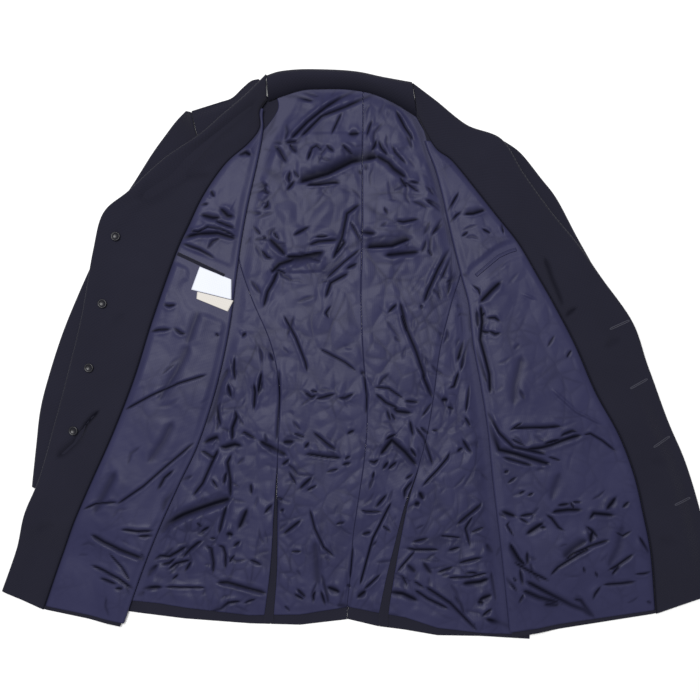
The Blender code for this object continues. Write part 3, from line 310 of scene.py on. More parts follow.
BACK_CREASES = (
    *laid(0,
        (3.6, 2.9, 64, 364, 75, 341, 87, 310, 97, 278, 107, 247, 117, 215, 119, 198),
        (3.6, 2.9, 119, 198, 128, 172, 138, 141, 148, 112, 158, 81),
        (4.5, 4.6, 158, 78, 164, 52, 169, 21, 175, -11, 179, -42, 181, -68),
        (3, 2.2, 119, 198, 112, 184, 101, 167), (3, 2.2, 118, 201, 107, 212, 92, 221),
        (2.6, 2.2, 132, 144, 124, 124, 115, 104), (5, 4.6, -139, 350, -132, 335, -135, 315, -139, 301),
        (3, 2.2, 144, 118, 132, 109, 124, 92), (3, 2.9, -171, 235, -157, 238, -139, 245, -131, 230),
        (3, 2.9, -169, 201, -157, 204, -139, 201),
        (6, 2.9, -97, 308, -74, 332, -49, 352, -26, 367, -2, 378),
        (5, 2.9, -82, 312, -54, 340, -18, 354, 9, 367, 29, 374),
        (8, 4.6, -119, 350, -128, 338, -134, 324, -138, 308), (4, 2.9, -117, 347, -125, 330, -134, 310),
        (3, 2.2, -24, 347, -31, 334, -41, 312), (4, 4.6, -18, 314, -6, 315, 2, 315),
        (3, 2.2, 19, 337, 14, 324, 9, 308), (3.5, 2.9, 51, 350, 64, 325, 78, 304),
        (6, 4.6, 29, 374, 48, 358, 61, 354, 81, 332, 92, 304), (4, 2.9, 25, 308, 22, 298, 16, 288),
        (5, 2.9, 26, 308, 31, 295, 42, 281), (6, 4.6, 21, 285, 41, 274, 49, 265, 68, 251),
        (3, 2.2, 45, 300, 51, 288, 68, 270), (4, 2.9, -28, 302, -18, 292, -6, 281),
        (3.5, 2.9, -49, 300, -35, 287), (3, 2.2, -66, 297, -71, 287, -75, 274),
        (2.5, 2.2, -74, 275, -68, 294, -61, 298, -51, 288), (3.5, 2.9, -102, 302, -88, 285),
        (4, 2.9, -109, 302, -85, 304), (5, 2.9, -124, 300, -114, 291, -108, 280, -102, 271),
        (5, 2.9, -98, 264, -101, 252, -99, 241), (3, 2.2, -95, 264, -85, 250), (3, 2.2, -2, 264, 4, 255),
        (3, 2.2, 69, 247, 87, 244), (3, 2.9, 56, 255, 69, 235), (4, 2.9, -109, 368, -91, 368, -64, 360),
        (3, 2.2, -85, 375, -56, 367), (4, 2.9, 1, 215, -18, 201, -25, 167, -38, 135),
        (4, 2.9, -105, 232, -91, 250), (3, 2.2, -142, 240, -127, 227), (3, 2.9, -97, 168, -69, 184),
        (4, 2.9, -66, 168, -42, 169), (5, 2.9, -75, 155, -59, 161, -28, 164),
        (4, 2.9, -26, 169, -22, 159, -38, 138), (7, 4.6, -131, 168, -121, 158, -112, 149, -104, 139),
        (3, 2.2, -124, 177, -114, 162), (6, 4.6, -128, 124, -124, 119, -114, 129, -99, 134, -89, 138),
        (3, 2.2, -124, 124, -102, 114), (5, 2.9, -115, 122, -122, 105, -131, 89, -137, 66),
        (4, 2.9, -142, 151, -132, 139, -122, 135), (2.5, 2.2, -139, 169, -131, 164),
        (2.5, 2.2, -15, 192, 5, 157), (4, 4.6, -2, 175, 26, 172), (5, 4.6, 34, 141, 58, 144, 87, 147),
        (4, 2.9, 49, 192, 62, 189, 87, 194), (2, 2.2, 34, 211, 41, 199),
        (5, 2.9, 92, 222, 112, 214, 119, 204), (7, 4.6, 102, 281, 109, 255, 115, 235, 118, 217, 119, 198),
        (5, 2.9, 119, 202, 131, 215, 141, 230, 149, 237), (4, 2.9, 118, 235, 127, 252),
        (4, 2.9, 121, 189, 102, 171), (5, 2.9, 122, 195, 125, 178, 129, 159, 132, 151),
        (3, 2.2, 101, 242, 117, 217), (2.5, 2.2, 97, 240, 107, 225), (2.5, 2.2, 61, 248, 87, 230),
        (5, 2.9, 129, 152, 112, 122, 98, 91, 92, 74), (5, 2.9, 134, 149, 144, 127, 149, 99, 155, 77),
        (3, 2.2, 131, 149, 131, 108, 125, 84), (4, 2.9, 144, 121, 161, 117, 174, 112),
        (4, 2.9, 128, 102, 137, 108, 145, 114), (2.5, 2.2, 97, 151, 104, 139),
        (2.5, 2.2, -48, 108, -22, 132, 2, 151), (4, 2.9, -49, 79, -41, 102, -14, 117),
        (3, 2.9, -21, 121, -1, 131), (2.5, 2.2, -39, 72, -48, 59, -42, 49),
        (3, 2.2, -108, 56, -91, 25, -77, -11, -74, -25), (2, 2.2, -58, 9, -21, -11, -4, -24),
        (3.5, 2.9, 39, 58, 55, 74), (4.5, 2.9, 58, 74, 68, 35, 81, 4, 94, -34), (3, 2.2, 58, 61, 68, 28),
        (3.5, 2.9, 122, 102, 141, 112), (2.5, 2.2, 87, 72, 89, 64), (3, 2.9, -129, 4, -122, -11),
        (3.5, 4.6, 1, -28, 8, -24), (4, 2.2, 139, 54, 145, 58, 157, 56), (2.5, 4.6, 135, 94, 145, 85),
        (2.5, 4.6, 137, 71, 148, 68), (5, 2.9, 157, 69, 157, 49, 158, 28),
        (6, 2.9, 158, 28, 161, 12, 169, -6, 172, -24), (4, 2.9, 158, 26, 149, -2, 144, -24),
        (5, 3.8, 149, 22, 142, -2, 138, -12), (6, 4.6, -187, -19, -198, -39, -209, -82, -218, -101),
        (5, 2.9, -188, -39, -185, -54, -182, -64), (4, 2.9, -204, -66, -201, -91, -197, -104),
        (5, 2.9, -151, -39, -149, -54, -151, -81), (4, 2.9, -178, -77, -175, -89, -181, -105, -181, -125),
        (3, 2.2, -115, -22, -114, -58, -118, -122), (3, 2.2, -178, -1, -179, -21, -177, -39),
        (3, 2.9, -139, -22, -145, -58), (6, 4.6, -202, -131, -191, -132, -178, -128, -165, -131),
        (4, 2.9, -171, -115, -164, -111, -145, -122), (6, 4.6, -145, -122, -122, -134, -102, -145),
        (4, 2.9, -99, -148, -112, -159), (4, 4.6, -112, -125, -91, -124), (3, 2.2, -97, -111, -75, -119),
        (3, 2.9, -79, -134, -71, -124), (3, 2.2, -22, -149, -12, -144),
        (3.5, 2.9, -68, -109, -44, -129, -31, -137), (3, 2.9, -81, -52, -68, -61, -59, -56),
        (2.5, 2.2, -71, -51, -58, -54), (3, 2.9, -65, -64, -51, -61, -32, -55),
        (3.5, 2.9, -34, -62, -21, -62, -5, -54), (3, 2.2, 5, -25, 11, -58, 9, -87),
        (3, 2.9, -19, -114, -6, -107), (3, 2.2, 19, -46, 41, -48, 64, -64),
        (3.5, 2.9, 21, -54, 38, -69, 58, -78), (2.5, 2.2, 38, -77, 45, -97), (2.5, 2.2, 44, -82, 52, -95),
        (4, 2.9, 11, -151, 21, -154, 29, -148), (3, 2.9, 32, -165, 42, -151),
        (2.5, 2.2, 18, -179, 21, -165), (3, 2.9, -26, -157, -11, -154), (2.5, 2.2, -49, -168, -28, -162),
        (4, 2.9, -88, -194, -79, -185, -65, -172), (3, 2.2, -77, -195, -59, -185),
        (2, 2.2, -102, -165, -89, -187), (5, 2.9, -182, -141, -188, -154, -184, -179, -184, -205),
        (4, 2.9, -189, -165, -194, -187), (3.5, 2.9, -155, -182, -154, -201),
        (4, 2.9, -119, -204, -108, -207), (5, 4.6, -225, -128, -215, -122, -204, -118, -199, -125),
        (4, 2.9, -230, -137, -221, -139, -209, -147, -199, -137),
        (5, 2.9, -238, -202, -224, -184, -215, -164, -201, -134), (3, 2.2, -212, -175, -201, -192),
        (10, 7, -184, -205, -207, -212, -230, -220, -251, -228, -274, -240, -284, -255),
        (4.5, 2.9, -188, -212, -194, -230, -201, -258), (5, 4.6, -159, -217, -169, -241, -174, -251),
        (4, 2.9, -228, -254, -212, -244), (3, 2.2, -232, -238, -224, -247),
        (3, 2.2, -214, -262, -204, -262), (4.5, 2.9, -254, -291, -241, -277, -230, -268, -221, -264),
        (4.5, 2.9, -295, -294, -284, -287, -271, -288, -257, -280, -245, -272),
        (4, 2.9, -285, -300, -271, -297, -260, -288), (4.5, 2.9, -274, -308, -262, -298, -238, -292),
        (3.5, 2.9, -250, -311, -238, -292), (3, 2.2, -268, -322, -257, -312),
        (6, 4.6, -304, -320, -298, -308, -285, -297),
        (4, 2.9, -221, -271, -211, -277, -208, -297, -209, -314),
        (3.5, 2.9, -204, -270, -194, -275, -191, -285, -191, -308), (5, 4.6, -191, -255, -179, -257),
        (5, 2.9, -181, -275, -169, -265), (3, 2.2, -177, -284, -187, -298),
        (4, 2.9, -159, -291, -137, -301), (6, 3.8, -204, -325, -188, -325, -171, -330, -131, -341),
        (4.5, 3.8, -314, -335, -297, -332, -278, -331), (4, 2.2, -278, -331, -251, -332, -218, -332),
        (6, 4.6, -318, -345, -305, -337), (5, 2.9, -215, -367, -198, -363, -187, -354, -167, -351),
        (3, 2.2, -167, -355, -145, -347), (3.5, 2.9, -137, -228, -122, -211),
        (5, 2.9, -117, -204, -119, -237, -121, -315, -124, -337), (4, 2.9, -114, -224, -107, -220),
        (4, 2.9, -111, -258, -81, -234), (4.5, 2.2, -71, -220, -64, -248, -51, -275, -36, -288),
        (3, 2.2, -99, -281, -81, -280), (3.5, 2.2, -1, -220, 9, -224, 34, -224),
        (3.5, 2.9, 21, -220, 41, -197), (3, 2.2, -35, -242, -19, -238), (3.5, 2.9, 2, -257, 18, -252),
        (3, 2.2, 31, -242, 46, -254), (3, 2.2, 45, -211, 19, -262, 1, -327), (4, 2.9, -91, -332, -75, -348),
        (4.5, 2.9, -95, -340, -78, -350), (3, 2.2, -108, -357, -98, -367),
        (3, 2.9, -62, -335, -66, -344, -65, -354), (3.5, 2.9, -56, -334, -48, -360),
        (5, 4.6, -49, -330, -25, -340), (3.5, 2.9, -19, -327, -12, -332), (2.5, 2.2, -9, -272, -14, -322),
        (5, 4.6, -5, -348, 11, -335), (4, 2.2, 32, -311, 4, -337), (3, 7, -64, -265, -59, -330),
        (4, 4.6, -35, -357, -11, -360), (5, 3.8, 45, -74, 54, -81, 77, -84), (3.5, 2.9, 61, -66, 87, -68),
        (5, 2.9, 88, -24, 95, -41, 105, -64), (3.5, 2.9, 125, -49, 135, -45, 142, -22),
        (4, 4.6, 115, -65, 127, -64), (3, 2.9, 124, -74, 135, -78), (3, 2.2, 105, -66, 87, -91),
        (3, 2.9, 71, -91, 77, -119), (4.5, 2.2, 79, -102, 92, -119, 105, -159),
        (4, 2.9, 85, -102, 101, -115), (2.5, 2.2, 102, -108, 114, -108),
        (6, 4.6, 29, -144, 46, -122, 65, -139, 82, -159), (4.5, 2.9, 71, -131, 82, -148),
        (3.5, 2.9, 35, -122, 54, -112), (4, 2.9, 39, -165, 55, -151), (2.5, 2.2, 64, -178, 78, -169),
        (4.5, 2.2, 89, -188, 111, -165, 125, -148, 129, -138), (4, 2.9, 145, -118, 155, -135, 162, -142),
        (4, 2.9, 148, -132, 138, -139), (3.5, 2.2, 149, -87, 159, -104),
        (3, 2.2, 157, -41, 155, -58, 151, -84), (4, 2.9, 172, -168, 185, -181),
        (5, 2.9, 64, -208, 65, -194, 78, -177), (5, 4.6, 84, -194, 92, -208),
        (3.5, 4.6, 77, -214, 87, -211), (4, 2.9, 72, -268, 101, -261), (3, 2.2, 112, -258, 147, -261),
        (3.5, 2.9, 64, -275, 78, -278, 115, -278), (4, 2.2, 81, -278, 61, -301, 52, -312),
        (4.5, 2.9, 124, -280, 145, -274), (4, 2.9, 138, -298, 177, -288), (3, 2.9, 108, -312, 137, -301),
        (4, 2.2, 124, -318, 158, -317, 184, -310), (3, 2.2, 147, -311, 172, -310),
        (4, 4.6, 144, -327, 172, -324, 187, -318), (5, 2.9, 137, -244, 152, -231, 172, -215, 174, -208),
        (3.5, 2.2, 162, -228, 151, -248, 158, -275), (2.5, 2.2, 155, -255, 182, -244),
        (5, 4.6, 179, -268, 192, -285), (5, 2.9, 201, -272, 194, -290), (4.5, 2.9, 187, -307, 195, -354),
        (5, 4.6, 192, -341, 167, -351), (4, 4.6, 167, -352, 178, -354), (3.5, 2.9, 172, -374, 191, -360),
        (5, 4.6, 39, -338, 62, -341, 85, -352), (4, 2.9, 77, -334, 97, -348, 128, -363),
        (3, 2.2, 75, -321, 94, -334), (5, 2.9, 94, -331, 129, -354, 168, -394),
        (3, 2.2, 59, -312, 69, -332), (3, 4.6, 66, -298, 82, -312), (3, 4.6, 89, -294, 104, -315),
        (4, 4.6, 177, -375, 201, -383, 222, -391), (5, 2.9, -162, 222, -154, 230, -137, 234, -125, 227),
        (4, 4.6, -149, 237, -137, 241, -128, 242), (6, 2.9, -162, 204, -151, 202, -137, 201),
        (4, 2.9, -131, 222, -131, 212, -139, 207), (7, 4.6, -172, 197, -164, 187),
        (3, 2.2, -164, 155, -154, 169), (3, 2.2, -154, 185, -139, 169), (4, 2.9, -168, 25, -161, 32),
        (3, 2.2, -139, 294, -125, 291), (5, 2.9, -131, 314, -125, 325, -118, 344)),
    *laid(-0.8,
        (7, 7, -85, 245, -45, 257, -11, 274, 26, 281)),
    *laid(-0.9,
        (5, 2.9, -78, 240, -56, 242, -26, 245), (6, 4.6, 8, 152, 46, 154, 74, 165)),
    *laid(0.9,
        (6, 4.6, -107, 141, -85, 141, -49, 148)),
    *laid(-0.6,
        (6, 2.9, -79, -142, -45, -147, -24, -148)),
)

LEFT_CREASES = (
    *laid(0,
        (4, 4.6, 169, 72, 187, 91, 202, 105),
        (4.5, 3.8, 172, 69, 174, 46, 171, 21, 178, -4, 184, -28, 185, -54),
        (3, 2.9, 142, 115, 164, 108, 184, 114, 201, 128, 211, 139, 230, 145, 255, 151),
        (3, 2.2, 158, 101, 169, 92, 172, 81), (3, 2.2, 122, 199, 132, 215, 142, 232),
        (2.6, 2.2, 125, 184, 138, 198, 147, 204), (3, 2.2, 134, 155, 128, 167, 124, 184),
        (3, 2.9, 178, 52, 192, 52, 201, 45), (3, 2.9, 181, 35, 192, 29, 202, 31),
        (5, 2.9, 181, -81, 198, -111, 218, -131, 251, -138, 264, -141),
        (6, 4.6, 178, -91, 198, -135, 222, -141, 268, -155), (4, 2.9, 201, -145, 247, -158),
        (3, 2.2, 212, -118, 237, -131), (3.5, 2.2, 211, -109, 232, -95),
        (6, 3.8, 235, -135, 258, -132, 272, -128, 287, -122, 302, -117, 315, -114),
        (4, 2.9, 281, -118, 290, -112, 301, -108, 311, -109),
        (3, 2.2, 315, -114, 327, -112, 344, -122, 364, -138), (4, 2.2, 258, -151, 271, -155),
        (2.5, 2.2, 265, -144, 287, -151), (3, 2.9, 258, -127, 287, -119), (3, 2.9, 204, -168, 212, -164),
        (2.5, 2.2, 208, -184, 224, -172), (2.5, 2.2, 225, -199, 235, -192),
        (2.5, 2.2, 237, -201, 247, -195), (4, 2.9, 185, -222, 195, -225, 209, -231),
        (5, 4.6, 197, -221, 225, -231), (3, 2.2, 225, -231, 241, -240), (3, 2.9, 224, -230, 251, -225),
        (3.5, 2.2, 214, -234, 209, -242, 220, -260), (5, 4.6, 234, -257, 258, -240, 262, -235),
        (4.5, 3.8, 270, -225, 278, -222, 295, -220, 317, -220), (4, 2.9, 278, -214, 300, -211),
        (4, 2.2, 300, -209, 315, -209), (2.5, 2.2, 297, -207, 305, -220),
        (3.5, 2.9, 262, -225, 272, -232, 282, -245, 292, -251), (4, 2.9, 255, -245, 265, -245),
        (4, 2.9, 238, -277, 238, -301), (4, 2.9, 218, -294, 240, -307, 270, -322),
        (6, 2.9, 189, -291, 205, -315, 225, -337), (5, 2.9, 227, -301, 232, -330),
        (3, 2.2, 217, -317, 224, -322), (6, 4.6, 230, -334, 255, -345, 287, -354),
        (7, 4.6, 237, -322, 272, -341, 302, -357, 320, -364, 332, -374), (5, 4.6, 258, -354, 287, -357),
        (5, 3.8, 302, -347, 315, -350, 322, -360, 337, -378), (3, 2.2, 234, -338, 225, -355),
        (4, 2.9, 195, -361, 207, -358), (4, 2.9, 197, -365, 218, -361), (4, 2.9, 197, -355, 205, -351),
        (5, 2.9, 189, -230, 198, -255, 204, -282), (5, 4.6, 347, -222, 357, -211, 365, -199),
        (3, 2.9, 371, -218, 383, -207), (5, 3.8, 324, -235, 332, -225, 363, -228),
        (6, 4.6, 327, -270, 328, -257, 332, -247), (3.5, 2.9, 318, -241, 330, -250, 340, -262),
        (4, 2.9, 290, -292, 302, -282, 330, -270, 354, -262),
        (3, 2.9, 270, -314, 281, -302, 308, -284, 327, -274), (3, 2.2, 317, -300, 320, -311),
        (2.5, 2.2, 334, -307, 338, -317), (4, 2.9, 350, -307, 364, -300, 390, -281),
        (4, 2.9, 357, -315, 361, -308, 370, -298), (2, 2.2, 360, -250, 373, -257, 387, -248),
        (4, 2.9, 394, -255, 407, -275, 411, -285), (3.5, 2.2, 387, -312, 403, -311, 418, -307),
        (3, 2.9, 344, -327, 371, -325, 394, -322), (4, 2.9, 331, -351, 335, -341, 344, -327),
        (3, 2.9, 408, -351, 418, -355), (5, 3.8, 165, 66, 167, 49, 168, 35),
        (4, 2.9, 167, 38, 177, 32, 187, 31), (3, 2.9, 172, 52, 178, 61),
        (5.5, 3.8, 172, 111, 182, 122, 191, 132, 201, 139), (4, 2.2, 174, 107, 185, 121, 195, 134),
        (3, 2.2, 185, 144, 191, 147, 198, 145), (2, 2.2, 144, 167, 155, 175), (2, 2.2, 172, 179, 187, 171),
        (2.5, 2.2, 201, 191, 204, 169), (-2, 2.2, 228, 87, 252, 77), (1.5, 2.2, 265, 9, 277, 29),
        (2.5, 2.2, 292, -6, 301, 8), (-2.6, 2.2, 272, -49, 307, -81, 344, -99),
        (-2, 2.2, 277, -308, 308, -290, 335, -274), (3, 2.9, 161, 16, 172, -14, 181, -42),
        (2.5, 7, 230, -1, 220, -44, 218, -72), (2.5, 7, 285, -165, 275, -191, 270, -208),
        (2.5, 7, 373, -240, 367, -272, 352, -302)),
    *laid(-0.6,
        (4, 2.9, 215, -105, 265, -104, 287, -102)),
    *laid(0.6,
        (5, 4.6, 212, -265, 227, -290, 238, -301)),
    *laid(-0.5,
        (4, 7, 287, -290, 301, -277, 324, -262)),
    *laid(-0.7,
        (3, 3.8, 145, 198, 161, 199, 181, 205)),
)

RIGHT_CREASES = (
    *laid(0,
        (2, 2.2, -332, -78, -295, -58, -257, -41, -218, -29),
        (2.5, 2.2, -342, -211, -307, -187, -274, -158, -235, -125),
        (2, 2.2, -393, -220, -373, -211, -342, -209), (3, 2.9, -287, -194, -277, -175, -262, -162),
        (5, 4.6, -280, -225, -274, -208, -262, -194, -248, -175),
        (4, 2.9, -340, -247, -315, -251, -290, -250), (4, 2.9, -318, -258, -287, -257),
        (5, 3.8, -381, -255, -363, -267, -342, -277, -312, -288, -298, -295),
        (4, 2.9, -312, -281, -300, -294), (4, 2.9, -383, -300, -363, -308, -342, -318, -318, -335),
        (3.5, 2.9, -373, -317, -357, -322, -342, -327), (2, 2.2, -357, -282, -337, -302, -325, -322),
        (3, 2.9, -348, -332, -334, -332), (3.5, 4.6, -175, 282, -162, 287, -151, 281),
        (4, 2.9, -212, 234, -205, 222), (2.5, 2.2, -227, 212, -212, 214),
        (7, 4.6, -201, 209, -194, 204, -187, 197, -175, 195), (5, 4.6, -228, 199, -208, 194, -194, 194),
        (5, 2.9, -208, 191, -197, 187, -174, 178),
        (4, 2.2, -242, 175, -228, 174, -215, 181, -197, 178, -174, 167),
        (6, 3.8, -257, 164, -228, 171, -201, 172, -174, 164), (3, 2.9, -254, 158, -227, 149, -204, 135),
        (4, 2.9, -280, 72, -270, 69, -258, 71), (3.5, 2.9, -300, 32, -285, 35, -265, 36),
        (3, 2.9, -265, 39, -254, 31, -244, 28), (2.5, 2.2, -205, 31, -199, 25),
        (2.5, 7, -221, 78, -234, 46, -245, 14), (2.5, 7, -242, 14, -260, -25, -285, -65),
        (2.5, 7, -264, -94, -278, -122, -300, -154), (3, 7, -345, -165, -360, -194, -377, -225),
        (3, 7, -300, 35, -312, -8, -325, -48), (3, 2.9, -222, -294, -232, -315, -241, -337)),
)

FACING_LEFT_CREASES = (
    *laid(0,
        (2.0, 4, 261, 138, 267, 124, 273, 107, 281, 88, 288, 68), (2.2, 4, 287, 49, 297, 59, 310, 69),
        (1.6, 7, 344, 9, 372, 24), (1.2, 8, 410, -150, 440, -158), (1.2, 9, 420, -262, 455, -268),
        (-1.2, 9, 300, 120, 330, 60, 352, 10)),
)
FACING_RIGHT_CREASES = (
    *laid(0,
        (3.0, 4, -368, -78, -378, -88, -387, -98, -393, -109, -404, -125),
        (3.0, 7, -390, -104, -404, -125, -417, -137, -430, -147),
        (3.6, 17, -150, 354, -185, 325, -208, 307, -240, 272, -265, 245, -288, 231, -306, 222),
        (1.8, 8, -208, 255, -247, 250, -269, 235), (0.8, 3, -412, 2, -415, -21, -420, -42),
        (1.2, 9, -330, 60, -352, 40), (1.4, 9, -430, -240, -462, -252)),
)

# Small pieces that lie on the front linings and facings
POCKET_RIGHT = ((-258, 143), (-232, 131), (-192, 112))
POCKET_LEFT = ((165, 112), (179, 124), (197, 139), (212, 146), (222, 149))
LABEL_WHITE = ((-226.5, 124.5), (-182, 106.5), (-182, 78), (-238.5, 92))
LABEL_CREAM = ((-230, 89), (-179, 76.5), (-187, 61), (-231, 79))
LABEL_FLAT = 11.0       # how far round the labels the lining stays flat
POCKET_FLAT = 9.0       # the same round a pocket's mouth
BUTTONS = ((-345, 167), (-364, 72), (-383, -19), (-405, -108))
BUTTONHOLES = (((355, 36), (381, 48)), ((384, -48), (408, -35)), ((417, -131), (441, -117)),
               ((447, -213), (470, -204)))


# ---------------------------------------------------------------- small sums

def clamp(value: Array | float) -> Array:
    """Keep shares between 0 and 1."""
    return np.clip(value, 0.0, 1.0)


def ease(value: Array | float) -> Array:
    """Shares that leave 0 and reach 1 softly."""
    share = clamp(value)
    return share * share * (3 - 2 * share)


def mix(low: Array | float, high: Array | float, share: Array | float) -> Array:
    """The values a share of the way from low to high."""
    return low + (high - low) * share


def column(table: Sequence, name: str, at: Array, soft: bool = True) -> Array:
    """One column of a table at places between its rows.

    Args:
        table: rows with named fields.
        name: the field.
        at: places, counted in rows from the top.
        soft: follow a smooth curve through the rows; otherwise ease from row to row.

    Returns:
        A value for each place.
    """
    values = np.array([getattr(row, name) for row in table], float)
    last = len(values) - 1
    low = np.clip(at.astype(int), 0, last - 1)
    share = at - low
    a, b, c, d = (values[np.clip(low + step, 0, last)] for step in (-1, 0, 1, 2))
    if not soft:
        return mix(b, c, ease(share))
    bend = 2 * a - 5 * b + 4 * c - d
    turn = 3 * b - a - 3 * c + d
    return b + 0.5 * share * (c - a + share * (bend + share * turn))


def places(table: Sequence, name: str, at: Array) -> Array:
    """The x and y of one named point of a table's sections, at places between its rows."""
    return np.stack([column(table, name + axis, at) for axis in ("_x", "_y")], 1)


def height_at(line: Line, x: Array) -> Array:
    """The y of a line of points at x."""
    return np.interp(x, [point[0] for point in line], [point[1] for point in line])


def to_line(line: Line, x: Array, y: Array) -> tuple[Array, Array, Array]:
    """Where places lie against a line of points.

    Args:
        line: points x, y.
        x: places across.
        y: places along.

    Returns:
        The signed distance to the line, the share of its length, and its length.
    """
    points = np.array(line, float)
    runs = np.diff(points, axis=0)
    lengths = np.hypot(runs[:, 0], runs[:, 1])
    total = lengths.sum()
    best = np.full(x.shape, FAR)
    side, along = np.zeros(x.shape), np.zeros(x.shape)
    before = 0.0
    for (px, py), (rx, ry), length in zip(points, runs, lengths):
        share = clamp(((x - px) * rx + (y - py) * ry) / length ** 2)
        gap = np.hypot(x - px - rx * share, y - py - ry * share)
        nearer = gap < best
        best = np.where(nearer, gap, best)
        turned = np.sign((x - px) * ry - (y - py) * rx)
        side = np.where(nearer, turned, side)
        along = np.where(nearer, (before + share * length) / total, along)
        before += length
    return best * np.where(side == 0, 1, side), along, total


def point_along(line: Line, share: float) -> tuple[float, float, float]:
    """The point of a line at a share of its length, and the angle of the line there."""
    points = np.array(line, float)
    runs = np.diff(points, axis=0)
    lengths = np.hypot(runs[:, 0], runs[:, 1])
    left = share * lengths.sum()
    for point, run, length in zip(points, runs, lengths):
        if left <= length:
            break
        left -= length
    place = point + run * min(left / length, 1.0)
    return float(place[0]), float(place[1]), math.atan2(run[1], run[0])


# ---------------------------------------------------------------- how the satin crumples

FAR = 1e9
SMALL_SPREAD = 24.0     # how far a small crease lies from its parent
SMALL_TURN = 0.5        # how far it turns from it
SMALL_HALF = (6, 20)    # half its length
SMALL_BOW = 0.16        # how far it bows, as a share of that
SMALL_WIDTH = (1.8, 3.2)
SMALL_DEPTH = (0.2, 0.6)  # its depth, as a share of its width
WARP = 9.0              # how far the cells are bent out of shape
WARP_SCALE = 0.02
SWELL = 1.3             # slow change of the fullness
PATCHES = 1.4           # how sharply the painted shade lines of the cells come and go
CELLS = ((46, 1.0, 0.34), (21, 0.5, 0.22))   # size, height and darkness of the painted shade in the valleys between them
CELL_SQUASH = 0.8       # their width over their length
CELL_MEAN = 0.35
CELL_LINE = 2.6         # width of the painted shade line between two cells
FULL_PUFF = 2.0         # a puff with painted shade lines as dark as they get
TOUCH = 1.6             # how sharply the cloth meets what it lies on

# The section of a crease, in its own widths
CREASE_REACH = 5.0
CREASE_END = 15.0       # length over which it runs out
CREASE_PAST = 0.04      # how far it runs on past its ends, as a share of its length
CREASE_TIP = 0.35       # its width at its ends, as a share
STEEPER = 1.6           # how much narrower one side of a leaning crease is
GENTLER = 0.65
FLANK = 0.378           # how much higher one side lies than the other
FLANK_FADE = 0.75
CORE = (0.95, 1.5, 1.2)  # depth, sharpness and power
RIDGE = (0.22, 1.6)     # height and place
CREASE_SHADE = 1.6      # how fast its painted shade fades to the sides


@dataclass
class Crumple:
    """The fullness of a lining: placed creases, small ones that follow them, and soft puffs.

    Attributes:
        creases: the listed creases.
        small: how many small creases to scatter along them.
        seed: start of the random draw.
        fullness: mean height of the cloth over what it lies on.
        puff: height of the soft cells between creases.
        box: low x, high x, low y and high y of the cloth.
    """
    creases: tuple
    small: int
    seed: int
    fullness: float
    puff: float
    box: tuple

    def scattered(self) -> list[Crease]:
        """Small creases beside the placed ones, turned a little from them."""
        draw = np.random.default_rng(self.seed)
        found = []
        low_x, high_x, low_y, high_y = self.box
        weights = np.array([to_line(item.points, np.zeros(1), np.zeros(1))[2] for item in self.creases])
        for _ in range(self.small):
            parent = self.creases[draw.choice(len(self.creases), p=weights / weights.sum())]
            x, y, angle = point_along(parent.points, draw.uniform(0.0, 1.0))
            x += draw.normal(0, SMALL_SPREAD)
            y += draw.normal(0, SMALL_SPREAD)
            if not (low_x < x < high_x and low_y < y < high_y):
                continue
            angle += draw.normal(0, SMALL_TURN)
            half = draw.uniform(*SMALL_HALF)
            bow = draw.normal(0, SMALL_BOW) * half
            along, across = math.cos(angle), math.sin(angle)
            points = ((x - along * half, y - across * half), (x - across * bow, y + along * bow),
                      (x + along * half, y + across * half))
            width = draw.uniform(*SMALL_WIDTH)
            found.append(Crease(points, width * draw.uniform(*SMALL_DEPTH), width))
        return found

    def cells(self, x: Array, y: Array, size: float, seed: int) -> Array:
        """Soft cells of a size with sharp valleys between them, from 0 to about 1."""
        draw = np.random.default_rng(seed)
        low_x, high_x, low_y, high_y = self.box
        count = int((high_x - low_x + 2 * size) * (high_y - low_y + 2 * size) / size ** 2)
        seeds = np.column_stack((draw.uniform(low_x - size, high_x + size, count),
                                 draw.uniform(low_y - size, high_y + size, count)))
        first, second = np.full(x.shape, FAR), np.full(x.shape, FAR)
        for seed_x, seed_y in seeds:
            gap = np.hypot(x - seed_x, (y - seed_y) * CELL_SQUASH)
            second = np.minimum(second, np.maximum(first, gap))
            first = np.minimum(first, gap)
        return np.clip((second - first) / size, 0, 1)

    def relief(self, x: Array, y: Array) -> tuple[Array, Array]:
        """How the cloth lies at places on it.

        Args:
            x: places across.
            y: places along.

        Returns:
            Its height over what it lies on, and the painted shade of each place, from 0 to 1, dark in creases
            and in the valleys between cells.
        """
        flat_x, flat_y = x.ravel(), y.ravel()
        warp = np.array([noise.noise_vector(Vector((a * WARP_SCALE, b * WARP_SCALE, self.seed)))
                         for a, b in zip(flat_x, flat_y)])
        warped_x, warped_y = flat_x + WARP * warp[:, 0], flat_y + WARP * warp[:, 1]
        total = self.fullness + SWELL * warp[:, 2]
        fold = np.zeros(total.shape)
        patchy = clamp(0.5 + PATCHES * warp[:, 2])
        for order, (size, lift, dark) in enumerate(CELLS):
            cell = self.cells(warped_x, warped_y, size, self.seed + order)
            total += lift * self.puff * (cell - CELL_MEAN)
            # Painted shade in the valleys between cells.
            line = np.exp(-(cell * size / CELL_LINE) ** 2)
            fold = np.maximum(fold, dark * line * patchy * min(1.0, self.puff / FULL_PUFF))
        for crease in [*self.creases, *self.scattered()]:
            lift, depth = trough(crease, flat_x, flat_y)
            total += lift
            fold = np.maximum(fold, depth)
        total = np.log1p(np.exp(TOUCH * total)) / TOUCH
        return total.reshape(x.shape), fold.reshape(x.shape)


